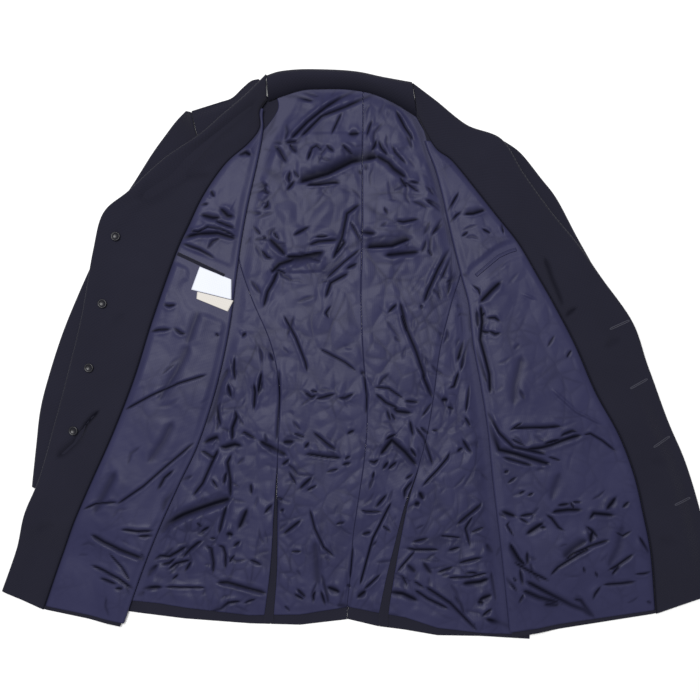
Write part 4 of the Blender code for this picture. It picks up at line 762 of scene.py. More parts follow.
def trough(crease: Crease, x: Array, y: Array) -> tuple[Array, Array]:
    """What one crease does to a cloth.

    Args:
        crease: the crease.
        x: places across.
        y: places along.

    Returns:
        What it adds to the height, and the painted shade that it puts along its trough, from 0 to 1.
    """
    lift, fold = np.zeros(x.shape), np.zeros(x.shape)
    points = np.array(crease.points, float)
    reach = CREASE_REACH * crease.width
    low, high = points.min(0) - reach, points.max(0) + reach
    near = (x > low[0]) & (x < high[0]) & (y > low[1]) & (y < high[1])
    if not near.any():
        return lift, fold
    gap, along, length = to_line(crease.points, x[near], y[near])
    end = min(0.5, CREASE_END / length)
    taper = ease((along + CREASE_PAST) / end) * ease((1 + CREASE_PAST - along) / end)
    taper = taper * np.where((along <= 0) | (along >= 1), np.exp(-(gap / crease.width) ** 2), 1)
    across = gap / (crease.width * mix(CREASE_TIP, 1, taper))
    lean = abs(crease.lean)
    across = across * np.where(across * crease.lean > 0, 1 - GENTLER * lean, 1 + STEEPER * lean)
    away = np.abs(across)
    tilt = FLANK * math.copysign(1, math.sin(points.sum()))
    slope = np.sign(gap) * tilt * away * np.exp(-FLANK_FADE * away)
    core = CORE[0] * np.exp(-CORE[1] * away ** CORE[2])
    ridge = RIDGE[0] * np.exp(-(away - RIDGE[1]) ** 2)
    lift[near] = crease.depth * (ridge + slope - core) * taper
    # Painted shade along the trough of the crease.
    dark = np.exp(-CREASE_SHADE * across ** 2)
    deep = max(crease.depth, 0.0)
    shade_strength = min(1.0, 0.35 + deep / 2.8) * min(1.0, 1.4 * deep / crease.width) ** 1.5
    fold[near] = dark * np.minimum(1.8 * taper, 1) * shade_strength
    return lift, fold


# ---------------------------------------------------------------- meshes

RIM_STEPS = 2           # faces across a rounded rim
SHEET_CORNER = 50.0     # least angle of an edge that is rounded, in degrees
FLAT_CORNER = 30.0      # the same for a flat piece
SEWN = 1e-6             # places closer than this, in metres, are one


def to_mesh(bm: bmesh.types.BMesh, name: str, *finishes: bpy.types.Material) -> bpy.types.Mesh:
    """Turn a bmesh into a mesh with its materials, and free it."""
    mesh = bpy.data.meshes.new(name)
    bm.to_mesh(mesh)
    bm.free()
    for finish in finishes:
        mesh.materials.append(finish)
    return mesh


def add_object(name: str, data: bpy.types.ID) -> bpy.types.Object:
    """Put a mesh, a lamp or a camera in the scene."""
    made = bpy.data.objects.new(name, data)
    bpy.context.scene.collection.objects.link(made)
    return made


def thicken(piece: bpy.types.Object, cloth: float, rim: float, corner: float) -> None:
    """Give a face of cloth its thickness below it and its rounded rims.

    Args:
        piece: the upper face.
        cloth: the thickness.
        rim: radius of the rims, 0 for none.
        corner: least angle of an edge that is rounded, in degrees.
    """
    wall = piece.modifiers.new("cloth", "SOLIDIFY")
    wall.thickness = cloth * MM
    wall.offset = -1.0
    if rim:
        edge = piece.modifiers.new("rim", "BEVEL")
        edge.width = rim * MM
        edge.segments = RIM_STEPS
        edge.limit_method = "ANGLE"
        edge.angle_limit = math.radians(corner)


class Grid(NamedTuple):
    """The upper face of a sheet: a place and a place in the cloth for each row and column."""
    points: Array   # rows, columns, 3
    cloth: Array    # rows, columns, 2: across and along the cloth
    fold: Array     # rows, columns: painted shade, from 0 to 1, dark in creases and at seams

    def cut(self) -> tuple[float, float]:
        """Width and length of the cloth it is cut from, in metres."""
        across = np.linalg.norm(np.diff(self.points, axis=1), axis=2).sum(1).max()
        along = np.linalg.norm(np.diff(self.points, axis=0), axis=2).sum(0).max()
        return max(math.ceil(across), LEAST_CUT) * MM, math.ceil(along) * MM


def laid_out(stations: list[Array], folds: list[Array] | None = None) -> Grid:
    """Make a grid from columns of points.

    Args:
        stations: for each column, its points down the cloth.
        folds: for the first columns, the painted shade of each point, from 0 to 1.

    Returns:
        The grid, turned so that its faces look up, with the cloth measured along it.
    """
    points = np.stack(stations, axis=1)
    middle = points[:, points.shape[1] // 3]
    along = np.concatenate(([0], np.cumsum(np.linalg.norm(np.diff(middle, axis=0), axis=1))))
    across = np.linalg.norm(np.diff(points, axis=1), axis=2).mean(0)
    across = np.concatenate(([0], np.cumsum(across)))
    cloth = np.stack(np.broadcast_arrays(across[None, :], along[:, None]), axis=2).copy()
    fold = np.zeros(points.shape[:2])
    for index, depth in enumerate(folds or []):
        fold[:, index] = depth
    third = points.shape[1] // 3
    run = points[len(points) // 2, third] - points[len(points) // 2, 0]
    down = points[-1, third] - points[0, third]
    if run[0] * down[1] - run[1] * down[0] < 0:
        points, cloth, fold = points[:, ::-1], cloth[:, ::-1], fold[:, ::-1]
    return Grid(points, cloth, fold)


@dataclass
class Sheet:
    """A piece of cloth with a real thickness.

    Attributes:
        name: the piece.
        grid: its upper face.
        cloth: its thickness.
        finish: its material.
        node: the solid that it stands for.
        slot: the record's material slot; not used.
        rests_on: what it lies on.
        rim: radius of its rounded rims, 0 for none.
        closed: the columns join into a tube.
    """
    name: str
    grid: Grid
    cloth: float
    finish: bpy.types.Material
    node: str
    slot: str
    rests_on: tuple
    rim: float = 0.0
    closed: bool = False

    def make(self) -> bpy.types.Object:
        rows, columns = self.grid.points.shape[:2]
        bm = bmesh.new()
        bmesh.ops.create_grid(bm, x_segments=columns - 1, y_segments=rows - 1, size=1.0)
        mesh = to_mesh(bm, self.name, self.finish)
        flat = np.zeros(len(mesh.vertices) * 3)
        mesh.vertices.foreach_get("co", flat)
        flat = flat.reshape(-1, 3)
        at_x = np.rint((flat[:, 0] + 1) / 2 * (columns - 1)).astype(int)
        at_y = np.rint((flat[:, 1] + 1) / 2 * (rows - 1)).astype(int)
        mesh.vertices.foreach_set("co", (self.grid.points[at_y, at_x] * MM).ravel())
        # The fold attribute holds painted shade, dark in creases and at seams.
        depth = mesh.attributes.new("fold", "FLOAT", "POINT")
        depth.data.foreach_set("value", self.grid.fold[at_y, at_x])
        layer = mesh.uv_layers.new(name="UVMap")
        corners = np.zeros(len(mesh.loops), dtype=np.int32)
        mesh.loops.foreach_get("vertex_index", corners)
        layer.data.foreach_set("uv", (self.grid.cloth[at_y, at_x][corners] * MM).ravel())
        if self.closed:
            self.join_sides(mesh)
        mesh.update()
        mesh.shade_smooth()
        area = sum(face.area for face in mesh.polygons)
        piece = add_object(self.name, mesh)
        thicken(piece, self.cloth, self.rim, SHEET_CORNER)
        width, length = self.grid.cut()
        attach(piece, "root")
        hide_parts(self.node)
        list(self.rests_on)
        LOG.info("%s: %d faces, cut %.3f by %.3f m, %.4f m2", self.name, len(mesh.polygons),
                 width, length, area)
        return piece

    @staticmethod
    def join_sides(mesh: bpy.types.Mesh) -> None:
        """Sew the first column of a tube to its last."""
        bm = bmesh.new()
        bm.from_mesh(mesh)
        bmesh.ops.remove_doubles(bm, verts=bm.verts, dist=SEWN)
        bm.to_mesh(mesh)
        bm.free()


# ---------------------------------------------------------------- finishes

WAVE_BEND = {"Distortion": 0.6, "Detail": 1.0}
MOTTLE_FIELD = {"Detail": 5.0, "Roughness": 0.55}
MOTTLE_SIZE = 9.0
SHEEN_ROUGHNESS = 0.5


def link(tree: bpy.types.NodeTree, source: bpy.types.NodeSocket, target: bpy.types.NodeSocket) -> None:
    """Join two sockets."""
    tree.links.new(source, target)


def add_node(tree: bpy.types.NodeTree, kind: str, values: dict, **settings: str) -> bpy.types.Node:
    """Add a shader node.

    Args:
        tree: the tree that it joins.
        kind: its type, after the word ShaderNode.
        values: constants of its inputs, by name.
        settings: its properties.

    Returns:
        The node.
    """
    node = tree.nodes.new("ShaderNode" + kind)
    for name, value in settings.items():
        setattr(node, name, value)
    for name, value in values.items():
        node.inputs[name].default_value = value
    return node


def new_group(name: str, numbers: tuple, output: str) -> tuple:
    """A node group that takes a vector and named numbers and gives one number.

    Args:
        name: the group's.
        numbers: names of the sockets for its numbers.
        output: name of the socket that it gives.

    Returns:
        The group, its inner inputs and its inner output.
    """
    group = bpy.data.node_groups.new(name, "ShaderNodeTree")
    group.interface.new_socket("Vector", in_out="INPUT", socket_type="NodeSocketVector")
    for number in numbers:
        group.interface.new_socket(number, in_out="INPUT", socket_type="NodeSocketFloat")
    group.interface.new_socket(output, in_out="OUTPUT", socket_type="NodeSocketFloat")
    inside = group.nodes.new("NodeGroupInput")
    outside = group.nodes.new("NodeGroupOutput")
    return group, inside.outputs, outside.inputs[output]


def weave_group() -> bpy.types.NodeTree:
    """A woven relief: two crossed sets of fine threads, read from the piece's UV map."""
    group, given, height = new_group("Weave", ("Threads", "Slant"), "Height")
    turn = add_node(group, "VectorRotate", {}, rotation_type="Z_AXIS")
    link(group, given["Vector"], turn.inputs["Vector"])
    link(group, given["Slant"], turn.inputs["Angle"])
    mixed = add_node(group, "Math", {}, operation="MULTIPLY")
    for index, direction in enumerate(("X", "Y")):
        wave = add_node(group, "TexWave", WAVE_BEND, wave_type="BANDS", bands_direction=direction)
        link(group, turn.outputs["Vector"], wave.inputs["Vector"])
        link(group, given["Threads"], wave.inputs["Scale"])
        link(group, wave.outputs["Fac"], mixed.inputs[index])
    link(group, mixed.outputs["Value"], height)
    return group


def mottle_group() -> bpy.types.NodeTree:
    """Slow, uneven shade across a cloth: a soft field from about 0 to 1."""
    group, given, shade = new_group("Mottle", ("Size",), "Shade")
    field = add_node(group, "TexNoise", MOTTLE_FIELD)
    link(group, given["Vector"], field.inputs["Vector"])
    link(group, given["Size"], field.inputs["Scale"])
    link(group, field.outputs["Fac"], shade)
    return group


@dataclass(frozen=True)
class Finish:
    """The look of a cloth.

    Attributes:
        name: the material.
        dark: its colour in its darker places, linear.
        light: its colour in its lighter places.
        roughness: of its surface.
        threads: threads a metre of the weave, over the wave texture's 20.
        relief: depth of the weave in metres.
        sheen: how much its nap catches light at the rim.
        slant: angle of the weave.
        specular: level of its plain reflection.
        painted_shade: the near-black colour of the painted shade in creases and at seams.
    """
    name: str
    dark: tuple
    light: tuple
    roughness: float
    threads: float
    relief: float
    sheen: float = 0.0
    slant: float = 0.0
    specular: float = 0.5
    # Near-black colour of the painted shade in creases and at seams.
    painted_shade: tuple = (0.003, 0.003, 0.006)

    def material(self, groups: dict) -> bpy.types.Material:
        """Make the material.

        Args:
            groups: the shared node groups, by name.

        Returns:
            The material.
        """
        made = bpy.data.materials.new(self.name)
        made.use_nodes = True
        tree = made.node_tree
        shader = tree.nodes["Principled BSDF"].inputs
        shader["Sheen Weight"].default_value = self.sheen
        shader["Sheen Roughness"].default_value = SHEEN_ROUGHNESS
        shader["Specular IOR Level"].default_value = self.specular
        shader["Roughness"].default_value = self.roughness
        place = add_node(tree, "TexCoord", {}).outputs["UV"]
        mottle = add_node(tree, "Group", {"Size": MOTTLE_SIZE}, node_tree=groups["mottle"])
        link(tree, place, mottle.inputs["Vector"])
        shade = add_node(tree, "Mix", {"A": (*self.dark, 1), "B": (*self.light, 1)}, data_type="RGBA")
        link(tree, mottle.outputs["Shade"], shade.inputs["Factor"])
        # Painted shade: the fold attribute darkens the base colour towards the near-black shade colour and
        # takes the specular away, in creases and at seams where shade falls.
        depth = add_node(tree, "Attribute", {}, attribute_name="fold").outputs["Fac"]
        painted_shade = add_node(tree, "Mix", {"B": (*self.painted_shade, 1)}, data_type="RGBA")
        link(tree, depth, painted_shade.inputs["Factor"])
        link(tree, shade.outputs["Result"], painted_shade.inputs["A"])
        link(tree, painted_shade.outputs["Result"], shader["Base Color"])
        painted_shade_gloss = add_node(tree, "MapRange", {"To Min": self.specular, "To Max": 0.0})
        link(tree, depth, painted_shade_gloss.inputs["Value"])
        link(tree, painted_shade_gloss.outputs["Result"], shader["Specular IOR Level"])
        weave = add_node(tree, "Group", {"Threads": self.threads, "Slant": self.slant},
                         node_tree=groups["weave"])
        link(tree, place, weave.inputs["Vector"])
        bump = add_node(tree, "Bump", {"Distance": self.relief})
        link(tree, weave.outputs["Height"], bump.inputs["Height"])
        link(tree, bump.outputs["Normal"], shader["Normal"])
        return made


class Cloth(Enum):
    """The cloths of the jacket."""
    WOOL = Finish("wool", (0.0070, 0.0069, 0.0152), (0.0112, 0.0110, 0.0222), roughness=0.92, sheen=0.08,
                  threads=90, slant=0.785, relief=0.0004, specular=0.2)
    SATIN = Finish("satin", (0.0180, 0.0180, 0.050), (0.0355, 0.0355, 0.082), roughness=0.4,
                   threads=160, relief=0.00005, specular=0.09)
    WHITE = Finish("label white", (0.62, 0.645, 0.73), (0.70, 0.72, 0.80), roughness=0.75,
                   threads=120, relief=0.0002)
    CREAM = Finish("label cream", (0.55, 0.52, 0.485), (0.62, 0.59, 0.55), roughness=0.8,
                   threads=120, relief=0.0002)
    THREAD = Finish("thread", (0.026, 0.026, 0.042), (0.040, 0.040, 0.060), roughness=0.7, sheen=0.1,
                    threads=300, slant=0.4, relief=0.0003, specular=0.25)
    # A near-black face across a buttonhole's slit: painted shade in place of the dark inside of the slit.
    SLIT_SHADE = Finish("slit_shade", (0.002, 0.002, 0.003), (0.003, 0.003, 0.004), roughness=0.95,
                  threads=90, relief=0.0001, specular=0.1)
    HORN = Finish("horn", (0.006, 0.006, 0.009), (0.011, 0.011, 0.016), roughness=0.34,
                  threads=20, relief=0.00001, specular=0.3)


# ---------------------------------------------------------------- the fronts

SEAM_SLOPE = 7.0        # width over which a facing dips into its seam
WAVER_FADE = 10.0       # width over which its unevenness dies out at the seam
WAVER_SEED = 31
FRONT_LINE = 1.5        # width of the painted shade line where a front lining meets its facing
LINING_SLOPE = 5.0      # width over which that lining dips into the seam
TOP_START = 0.9         # row of a front below which its lining's folds begin
TOP_FADE = 1.2          # rows over which they grow
HEM_FADE = 0.5          # rows over which they fade at the hem
HEM_FOLDS = 0.35        # how much of them is left there
SEAM_SHADE_KEPT = 0.4        # how much of their painted shade is left at a seam
ROW_SAMPLES = 400       # places along a front, to measure it
TOP_SAMPLES = 1400      # the same, to find the section through a place


class Cuts:
    """Sections across a front at many places down it."""

    def __init__(self, table: Sequence[Front], at: Array) -> None:
        """Work out the sections at places counted in rows of the table."""
        self.at = at
        self.edge, self.seam, self.fold = (places(table, name, at) for name in ("edge", "seam", "fold"))
        names = ("edge_z", "rest_z", "fold_z", "shelf", "roll", "turn")
        self.level = {name: column(table, name, at, soft=False) for name in names}
        out, back = self.edge - self.seam, self.fold - self.seam
        out_length, back_length = np.hypot(*out.T), np.hypot(*back.T)
        self.facing_width = out_length - self.level["roll"]
        self.lining_width = np.maximum(back_length - FOLD_ROLL, LEAST_LINING)
        self.outward = out / out_length[:, None]
        self.inward = back / back_length[:, None]

    def flat(self, width: Array) -> Array:
        """Places at widths from the facing seam, towards the edge or, if negative, the fold."""
        way = np.where((width >= 0)[:, None], self.outward, self.inward)
        return self.seam + way * np.abs(width)[:, None]

    def wool(self, width: Array) -> Array:
        """Height of the middle of the front's wool at widths from the facing seam."""
        level = self.level
        climb = ease((width + self.lining_width - level["shelf"]) / FRONT_RISE)
        rest = mix(level["fold_z"], level["rest_z"], climb)
        near = ease((self.facing_width - width - level["turn"]) / EDGE_SLOPE)
        return mix(level["edge_z"], rest, near)

    def facing(self, width: Array) -> Array:
        """Height of the top of a facing."""
        near = ease(1 - (self.facing_width - width) / EDGE_SLOPE)
        return self.wool(width) + mix(FACING_SEAT, self.level["roll"], near)

    def lining(self, width: Array) -> Array:
        """Height of the top of a flat front lining, at widths from the seam towards the fold."""
        near = ease(1 - (self.lining_width - width) / EDGE_SLOPE)
        return self.wool(-width) + mix(FRONT_LINING_SEAT, FOLD_ROLL, near)

    def turned(self, width: Array, way: Array, radius: Array | float) -> list[Array]:
        """Points of half a turn round the wool's edge, from the top to below."""
        middle, height = self.flat(width), self.wool(width)
        found = []
        for step in range(1, ROLL_STEPS):
            angle = math.pi * step / ROLL_STEPS
            place = middle + way * np.broadcast_to(radius * math.sin(angle), width.shape)[:, None]
            found.append(np.column_stack((place, height + radius * math.cos(angle))))
        return found

    def under(self, start: Array, end: Array, radius: Array | float) -> list[Array]:
        """Points of the cloth that runs back below the wool between two widths."""
        found = []
        for share in np.linspace(0, 1, UNDER_STEPS):
            width = mix(start, end, share)
            found.append(np.column_stack((self.flat(width), self.wool(width) - radius)))
        return found


@dataclass
class FrontHalf:
    """One front: its facing, its lining and its outer wool.

    Attributes:
        side: right or left, the wearer's.
        table: its sections.
        crumple: the fullness of its lining.
        facing_creases: creases of its facing.
        flats: lines on the lining that stay flat, with how far round them.
    """
    side: str
    table: tuple
    crumple: Crumple
    facing_creases: tuple
    flats: tuple

    def hem(self) -> float:
        """The place in the table where the lining ends."""
        last, before = self.table[-1], self.table[-2]
        length = math.hypot(last.seam_x - before.seam_x, last.seam_y - before.seam_y)
        return len(self.table) - 1 - FRONT_LINING_HEM / length

    def rows(self, first: float, last: float, step: float) -> Array:
        """Places from first to last, about a step apart on the cloth."""
        at = np.linspace(first, last, ROW_SAMPLES)
        runs = np.maximum(*(np.linalg.norm(np.diff(places(self.table, name, at), axis=0), axis=1)
                            for name in ("seam", "edge")))
        along = np.concatenate(([0], np.cumsum(runs)))
        return np.interp(np.linspace(0, along[-1], int(along[-1] / step) + 1), along, at)

    def facing(self, wool: bpy.types.Material) -> bpy.types.Object:
        """The strip of wool inside the edge."""
        cuts = Cuts(self.table, self.rows(0, len(self.table) - 1, FACING_STEP))
        columns = int(cuts.facing_width.max() / FACING_STEP)
        stations, folds = [], []
        for share in np.linspace(0, 1, columns):
            width = mix(SEAM_GAP / 2, cuts.facing_width, share)
            place = cuts.flat(width)
            height = cuts.facing(width)
            # Painted shade: a dark line along the facing seam and in the facing's creases.
            fold = np.exp(-width / SEAM_LINE)
            inside = ease(width / EDGE_HOLD) * ease((cuts.facing_width - width) / EDGE_HOLD)
            for crease in self.facing_creases:
                lift, depth = trough(crease, place[:, 0], place[:, 1])
                height = height + lift * inside
                fold = np.maximum(fold, depth * inside)
            folds.append(fold)
            height = height + SEAM_DIP * (ease(width / SEAM_SLOPE) - 1)
            height = height + WAVER * waver(place[:, 0], place[:, 1]) * ease(width / WAVER_FADE)
            stations.append(np.column_stack((place, height)))
        radius = cuts.level["roll"]
        stations += cuts.turned(cuts.facing_width, cuts.outward, radius)
        stations += cuts.under(cuts.facing_width, cuts.facing_width - cuts.level["turn"], radius)
        return Sheet("facing_" + self.side + "_cloth", laid_out(stations, folds), FACING_WOOL, wool,
                     "facing_" + self.side, "wool", ("front_" + self.side,), rim=WOOL_RIM).make()

    def lining(self, satin: bpy.types.Material) -> bpy.types.Object:
        """The satin between the facing and the fold beside the back."""
        hem = self.hem()
        cuts = Cuts(self.table, self.rows(LINING_START, hem, FINE_STEP))
        columns = int(cuts.lining_width.max() / FINE_STEP)
        widths = [mix(SEAM_GAP / 2, cuts.lining_width, share) for share in np.linspace(0, 1, columns)]
        flats = [cuts.flat(-width) for width in widths]
        x, y = (np.stack([place[:, axis] for place in flats], 1) for axis in (0, 1))
        fullness, depth = self.crumple.relief(x, y)
        for line, reach in self.flats:
            share = ease((np.abs(to_line(line, x, y)[0]) - reach) / reach)
            fullness, depth = fullness * share, depth * share
        down = ease((cuts.at - TOP_START) / TOP_FADE) * mix(HEM_FOLDS, 1, ease((hem - cuts.at) / HEM_FADE))
        stations, folds = [], []
        for index, (width, place) in enumerate(zip(widths, flats)):
            share = ease(width / SEAM_FADE) * ease((cuts.lining_width - width) / SEAM_FADE) * down
            height = cuts.lining(width) + fullness[:, index] * share
            height = height - SEAM_DIP / 2 * (1 - ease(width / LINING_SLOPE))
            stations.append(np.column_stack((place, height)))
            # Painted shade in the lining's creases and along its seam with the facing.
            folds.append(np.maximum(depth[:, index] * mix(SEAM_SHADE_KEPT, 1, share), np.exp(-width / FRONT_LINE)))
        stations += cuts.turned(-cuts.lining_width, cuts.inward, FOLD_ROLL)
        turn = np.minimum(FOLD_TURN, cuts.lining_width)
        stations += cuts.under(-cuts.lining_width, turn - cuts.lining_width, FOLD_ROLL)
        return Sheet("lining_front_" + self.side + "_cloth", laid_out(stations, folds), SATIN, satin,
                     "lining_front_" + self.side, "satin", ("front_" + self.side,)).make()

    def wool(self, wool: bpy.types.Material) -> bpy.types.Object:
        """The outer wool between the lining and the sleeve, seen at the hem."""
        cuts = Cuts(self.table, self.rows(0, len(self.table) - 1, COARSE_STEP))
        stations = []
        total = cuts.lining_width + cuts.facing_width - 2 * WOOL_END
        for share in np.linspace(0, 1, int(total.max() / COARSE_STEP)):
            width = WOOL_END - cuts.lining_width + total * share
            stations.append(np.column_stack((cuts.flat(width), cuts.wool(width) + FRONT_WOOL / 2)))
        return Sheet("front_" + self.side + "_cloth", laid_out(stations), FRONT_WOOL, wool,
                     "front_" + self.side, "wool", ("sleeve_" + self.side, "back"), rim=WOOL_RIM).make()

    def top(self, x: float, y: float, on_facing: bool) -> float:
        """Height of the cloth on this front at a place, where it is flat."""
        cuts = Cuts(self.table, np.linspace(0, len(self.table) - 1, TOP_SAMPLES))
        way = cuts.outward if on_facing else cuts.inward
        aside = np.abs((x - cuts.seam[:, 0]) * way[:, 1] - (y - cuts.seam[:, 1]) * way[:, 0])
        best = int(np.argmin(aside))
        width = np.hypot(x - cuts.seam[:, 0], y - cuts.seam[:, 1])
        return float((cuts.facing(width) if on_facing else cuts.lining(width))[best])


def waver(x: Array, y: Array) -> Array:
    """A slow unevenness of a laid cloth, from about -1 to 1."""
    return np.array([noise.noise(Vector((a * WAVER_SCALE, b * WAVER_SCALE, WAVER_SEED)))
                     for a, b in zip(x, y)])


# ---------------------------------------------------------------- the back

BACK_SAMPLES = 600      # levels of the back, to space its rows
NECK_HOLD = 5.0         # the strip below the collar without folds
HEM_LEFT = 0.45         # how much of the folds is left at the hem
SEAM_LEFT = 0.7         # the same at a seam
DARK_LEFT = 0.3         # how much of their painted shade is left where they die out
SIDE_START = 5.6        # row of BACK where the side panels begin
VENT_START = 0.9        # rows below the top of a vent where its facing shows
VENT_ROWS = 8
VENT_SHARES_RIGHT = (0.65, 0.35)    # how far a vent opens to each side of its seam
VENT_SHARES_LEFT = (0.0, 1.0)
VENT_OVER = 2.0         # how far the facing ends short of the wool's hem
FLAT_RIM = 0.6


def lining_y(at: Array, x: Array, hem: Line) -> Array:
    """The y of levels of the back lining at x: their own, bent to the neck above and the hem below."""
    top, bottom = BACK[0].y, BACK[-1].y
    own = column(BACK, "y", at)
    share = (top - own) / (top - bottom)
    from_neck = (height_at(NECK, x) - top) * clamp(1 - share / NECK_REACH)
    return own + from_neck + (height_at(hem, x) - bottom) * share


@dataclass
class BackLining:
    """One panel of the back lining.

    Attributes:
        node: its solid.
        first: the row of BACK where it begins.
        low, high: its columns in BACK.
        crumple: its fullness.
        low_open, high_open: its shares of the vents at those columns.
    """
    node: str
    first: float
    low: str
    high: str
    crumple: Crumple
    low_open: float = 0.0
    high_open: float = 0.0

    def make(self, satin: bpy.types.Material) -> bpy.types.Object:
        """Build the panel."""
        last = len(BACK) - 1
        levels = np.linspace(0, last, BACK_SAMPLES)
        levels = levels[levels >= self.first]
        down = -column(BACK, "y", levels)
        at = np.interp(np.linspace(down[0], down[-1], int((down[-1] - down[0]) / FINE_STEP)), down, levels)
        vent = VENT_WIDTH * np.maximum(0, at - VENT_TOP) / (last - VENT_TOP)
        start = column(BACK, self.low, at) + SEAM_GAP / 2 + self.low_open * vent
        end = column(BACK, self.high, at) - SEAM_GAP / 2 - self.high_open * vent
        shares = np.linspace(0, 1, int((end - start).max() / FINE_STEP))
        x = start[:, None] + (end - start)[:, None] * shares[None, :]
        y = lining_y(at[:, None], x, LINING_HEM)
        right = column(BACK, "side_right", at)[:, None]
        left = column(BACK, "side_left", at)[:, None]
        from_side = np.minimum(x - right, left - x) - HIDDEN_LINING
        share = ease(from_side / SIDE_FADE) * ease((height_at(NECK, x) - y - NECK_HOLD) / NECK_FADE)
        share = share * mix(HEM_LEFT, 1, ease((y - height_at(LINING_HEM, x)) / SIDE_FADE))
        nearest = np.minimum(x - start[:, None], end[:, None] - x)
        share = share * mix(SEAM_LEFT, 1, ease(nearest / SEAM_FADE))
        lift, fold = self.crumple.relief(x, y)
        # Painted shade in the creases and along the seams.
        fold = np.maximum(fold * mix(DARK_LEFT, 1, share), SEAM_SHADE * np.exp(-nearest / SEAM_LINE))
        points = np.stack((x, y, LINING_SEAT + lift * share), 2)
        columns = range(points.shape[1])
        grid = laid_out([points[:, index] for index in columns], [fold[:, index] for index in columns])
        return Sheet(self.node + "_cloth", grid, SATIN, satin, self.node, "satin", ("back",)).make()


@dataclass
class FlatCloth:
    """A flat piece with the given outline.

    Attributes:
        node: its solid.
        outline: its corners, anticlockwise or not.
        low, high: heights of its two faces.
        cut: width and length of the cut, where that isn't the outline's box.
    """
    node: str
    outline: list
    low: float
    high: float
    cut: tuple | None = None

    def make(self, cloth: bpy.types.Material, slot: str, rests_on: tuple) -> bpy.types.Object:
        bm = bmesh.new()
        corners = [bm.verts.new(Vector((x, y, self.high)) * MM) for x, y in self.outline]
        face = bm.faces.new(corners)
        face.normal_update()
        if face.normal.z < 0:
            face.normal_flip()
        layer = bm.loops.layers.uv.new("UVMap")
        for loop in face.loops:
            loop[layer].uv = loop.vert.co.xy
        area = face.calc_area()
        piece = add_object(self.node + "_cloth", to_mesh(bm, self.node, cloth))
        thicken(piece, self.high - self.low, FLAT_RIM, FLAT_CORNER)
        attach(piece, "root")
        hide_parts(self.node)
        xs, ys = zip(*self.outline)
        size = [length * MM for length in self.cut or (max(xs) - min(xs), max(ys) - min(ys))]
        LOG.info("%s: cut %.3f by %.3f m, %.4f m2", piece.name, *size, area)
        return piece


class BackWool:
    """The four pieces of wool that the jacket lies on, and the facings of its vents."""

    @staticmethod
    def edge(name: str, first: int, last: int, shift: float) -> list:
        """Points down a seam from one row to another."""
        return [(getattr(row, name) + shift, row.y) for row in BACK[first:last + 1]]

    @staticmethod
    def hem(low: float, high: float) -> list:
        """Points of the hem from low to high x."""
        inside = [point for point in WOOL_HEM if low + 1 < point[0] < high - 1]
        return [(low, float(height_at(WOOL_HEM, low))), *inside, (high, float(height_at(WOOL_HEM, high)))]

    def make(self, wool: bpy.types.Material) -> None:
        """Build the four pieces."""
        gap, last, foot = SEAM_GAP / 2, len(BACK) - 1, ARMHOLE_FOOT
        seams = {name: getattr(BACK[last], name) for name in ("seam_right", "centre", "seam_left")}
        right = [*SHOULDER_LINE_RIGHT, *self.edge("centre", 0, last - 1, -gap)]
        right += reversed(self.hem(seams["seam_right"] + gap, seams["centre"] - gap))
        right += reversed(self.edge("seam_right", foot + 1, last - 1, gap))
        right += ARMHOLE_RIGHT
        left = self.edge("centre", 0, last - 1, gap)
        left += self.hem(seams["centre"] + gap, seams["seam_left"] - gap)
        left += reversed(self.edge("seam_left", foot + 1, last - 1, -gap))
        left += [*ARMHOLE_LEFT, *reversed(SHOULDER_LINE_LEFT)]
        side_right = self.edge("seam_right", foot + 1, last - 1, -gap)
        side_right += reversed(self.hem(SIDE_RIGHT[-1][0], seams["seam_right"] - gap))
        side_right += reversed(SIDE_RIGHT[:-1])
        side_left = self.edge("seam_left", foot + 1, last - 1, gap)
        side_left += self.hem(seams["seam_left"] + gap, SIDE_LEFT[-1][0])
        side_left += reversed(SIDE_LEFT[:-1])
        for node, outline in (("back_centre_right", right), ("back_centre_left", left),
                              ("back_side_right", side_right), ("back_side_left", side_left)):
            FlatCloth(node, outline, 0.0, BACK_WOOL).make(wool, "wool", ("table",))

    def vents(self, wool: bpy.types.Material) -> None:
        """Build the strips of wool that show between two panels of lining."""
        last = len(BACK) - 1
        for node, seam, (low, high) in (("vent_facing_right", "seam_right", VENT_SHARES_RIGHT),
                                        ("vent_facing_left", "seam_left", VENT_SHARES_LEFT)):
            at = np.linspace(VENT_TOP + VENT_START, last, VENT_ROWS)
            middle = column(BACK, seam, at)
            wide = VENT_WIDTH * (at - VENT_TOP) / (last - VENT_TOP)
            start, end = middle + SEAM_GAP / 2 - low * wide, middle - SEAM_GAP / 2 + high * wide
            outline = []
            for edge in (start, end):
                y = lining_y(at, edge, LINING_HEM)
                foot = (float(edge[-1]), float(height_at(WOOL_HEM, edge[-1:])[0]) + VENT_OVER)
                side = [*zip(edge.tolist(), y.tolist()), foot]
                outline += side if edge is start else side[::-1]
            FlatCloth(node, outline, *VENT_CLOTH, (VENT_WIDTH, VENT_CUT)).make(wool, "wool", ("back",))


# ---------------------------------------------------------------- sleeves, collar and shoulder

SLEEVE_ROWS = 110
SLEEVE_COLUMNS = 40     # across the upper side of a sleeve
SLEEVE_BELOW = 12       # across its lower side
SLEEVE_TURN = 10        # faces round each of its folds
COLLAR_COLUMNS = 120
COLLAR_ROWS = 18
COLLAR_STEPS = 14       # faces round the roll of the collar
SHOULDER_ROWS = 60
SHOULDER_COLUMNS = 22


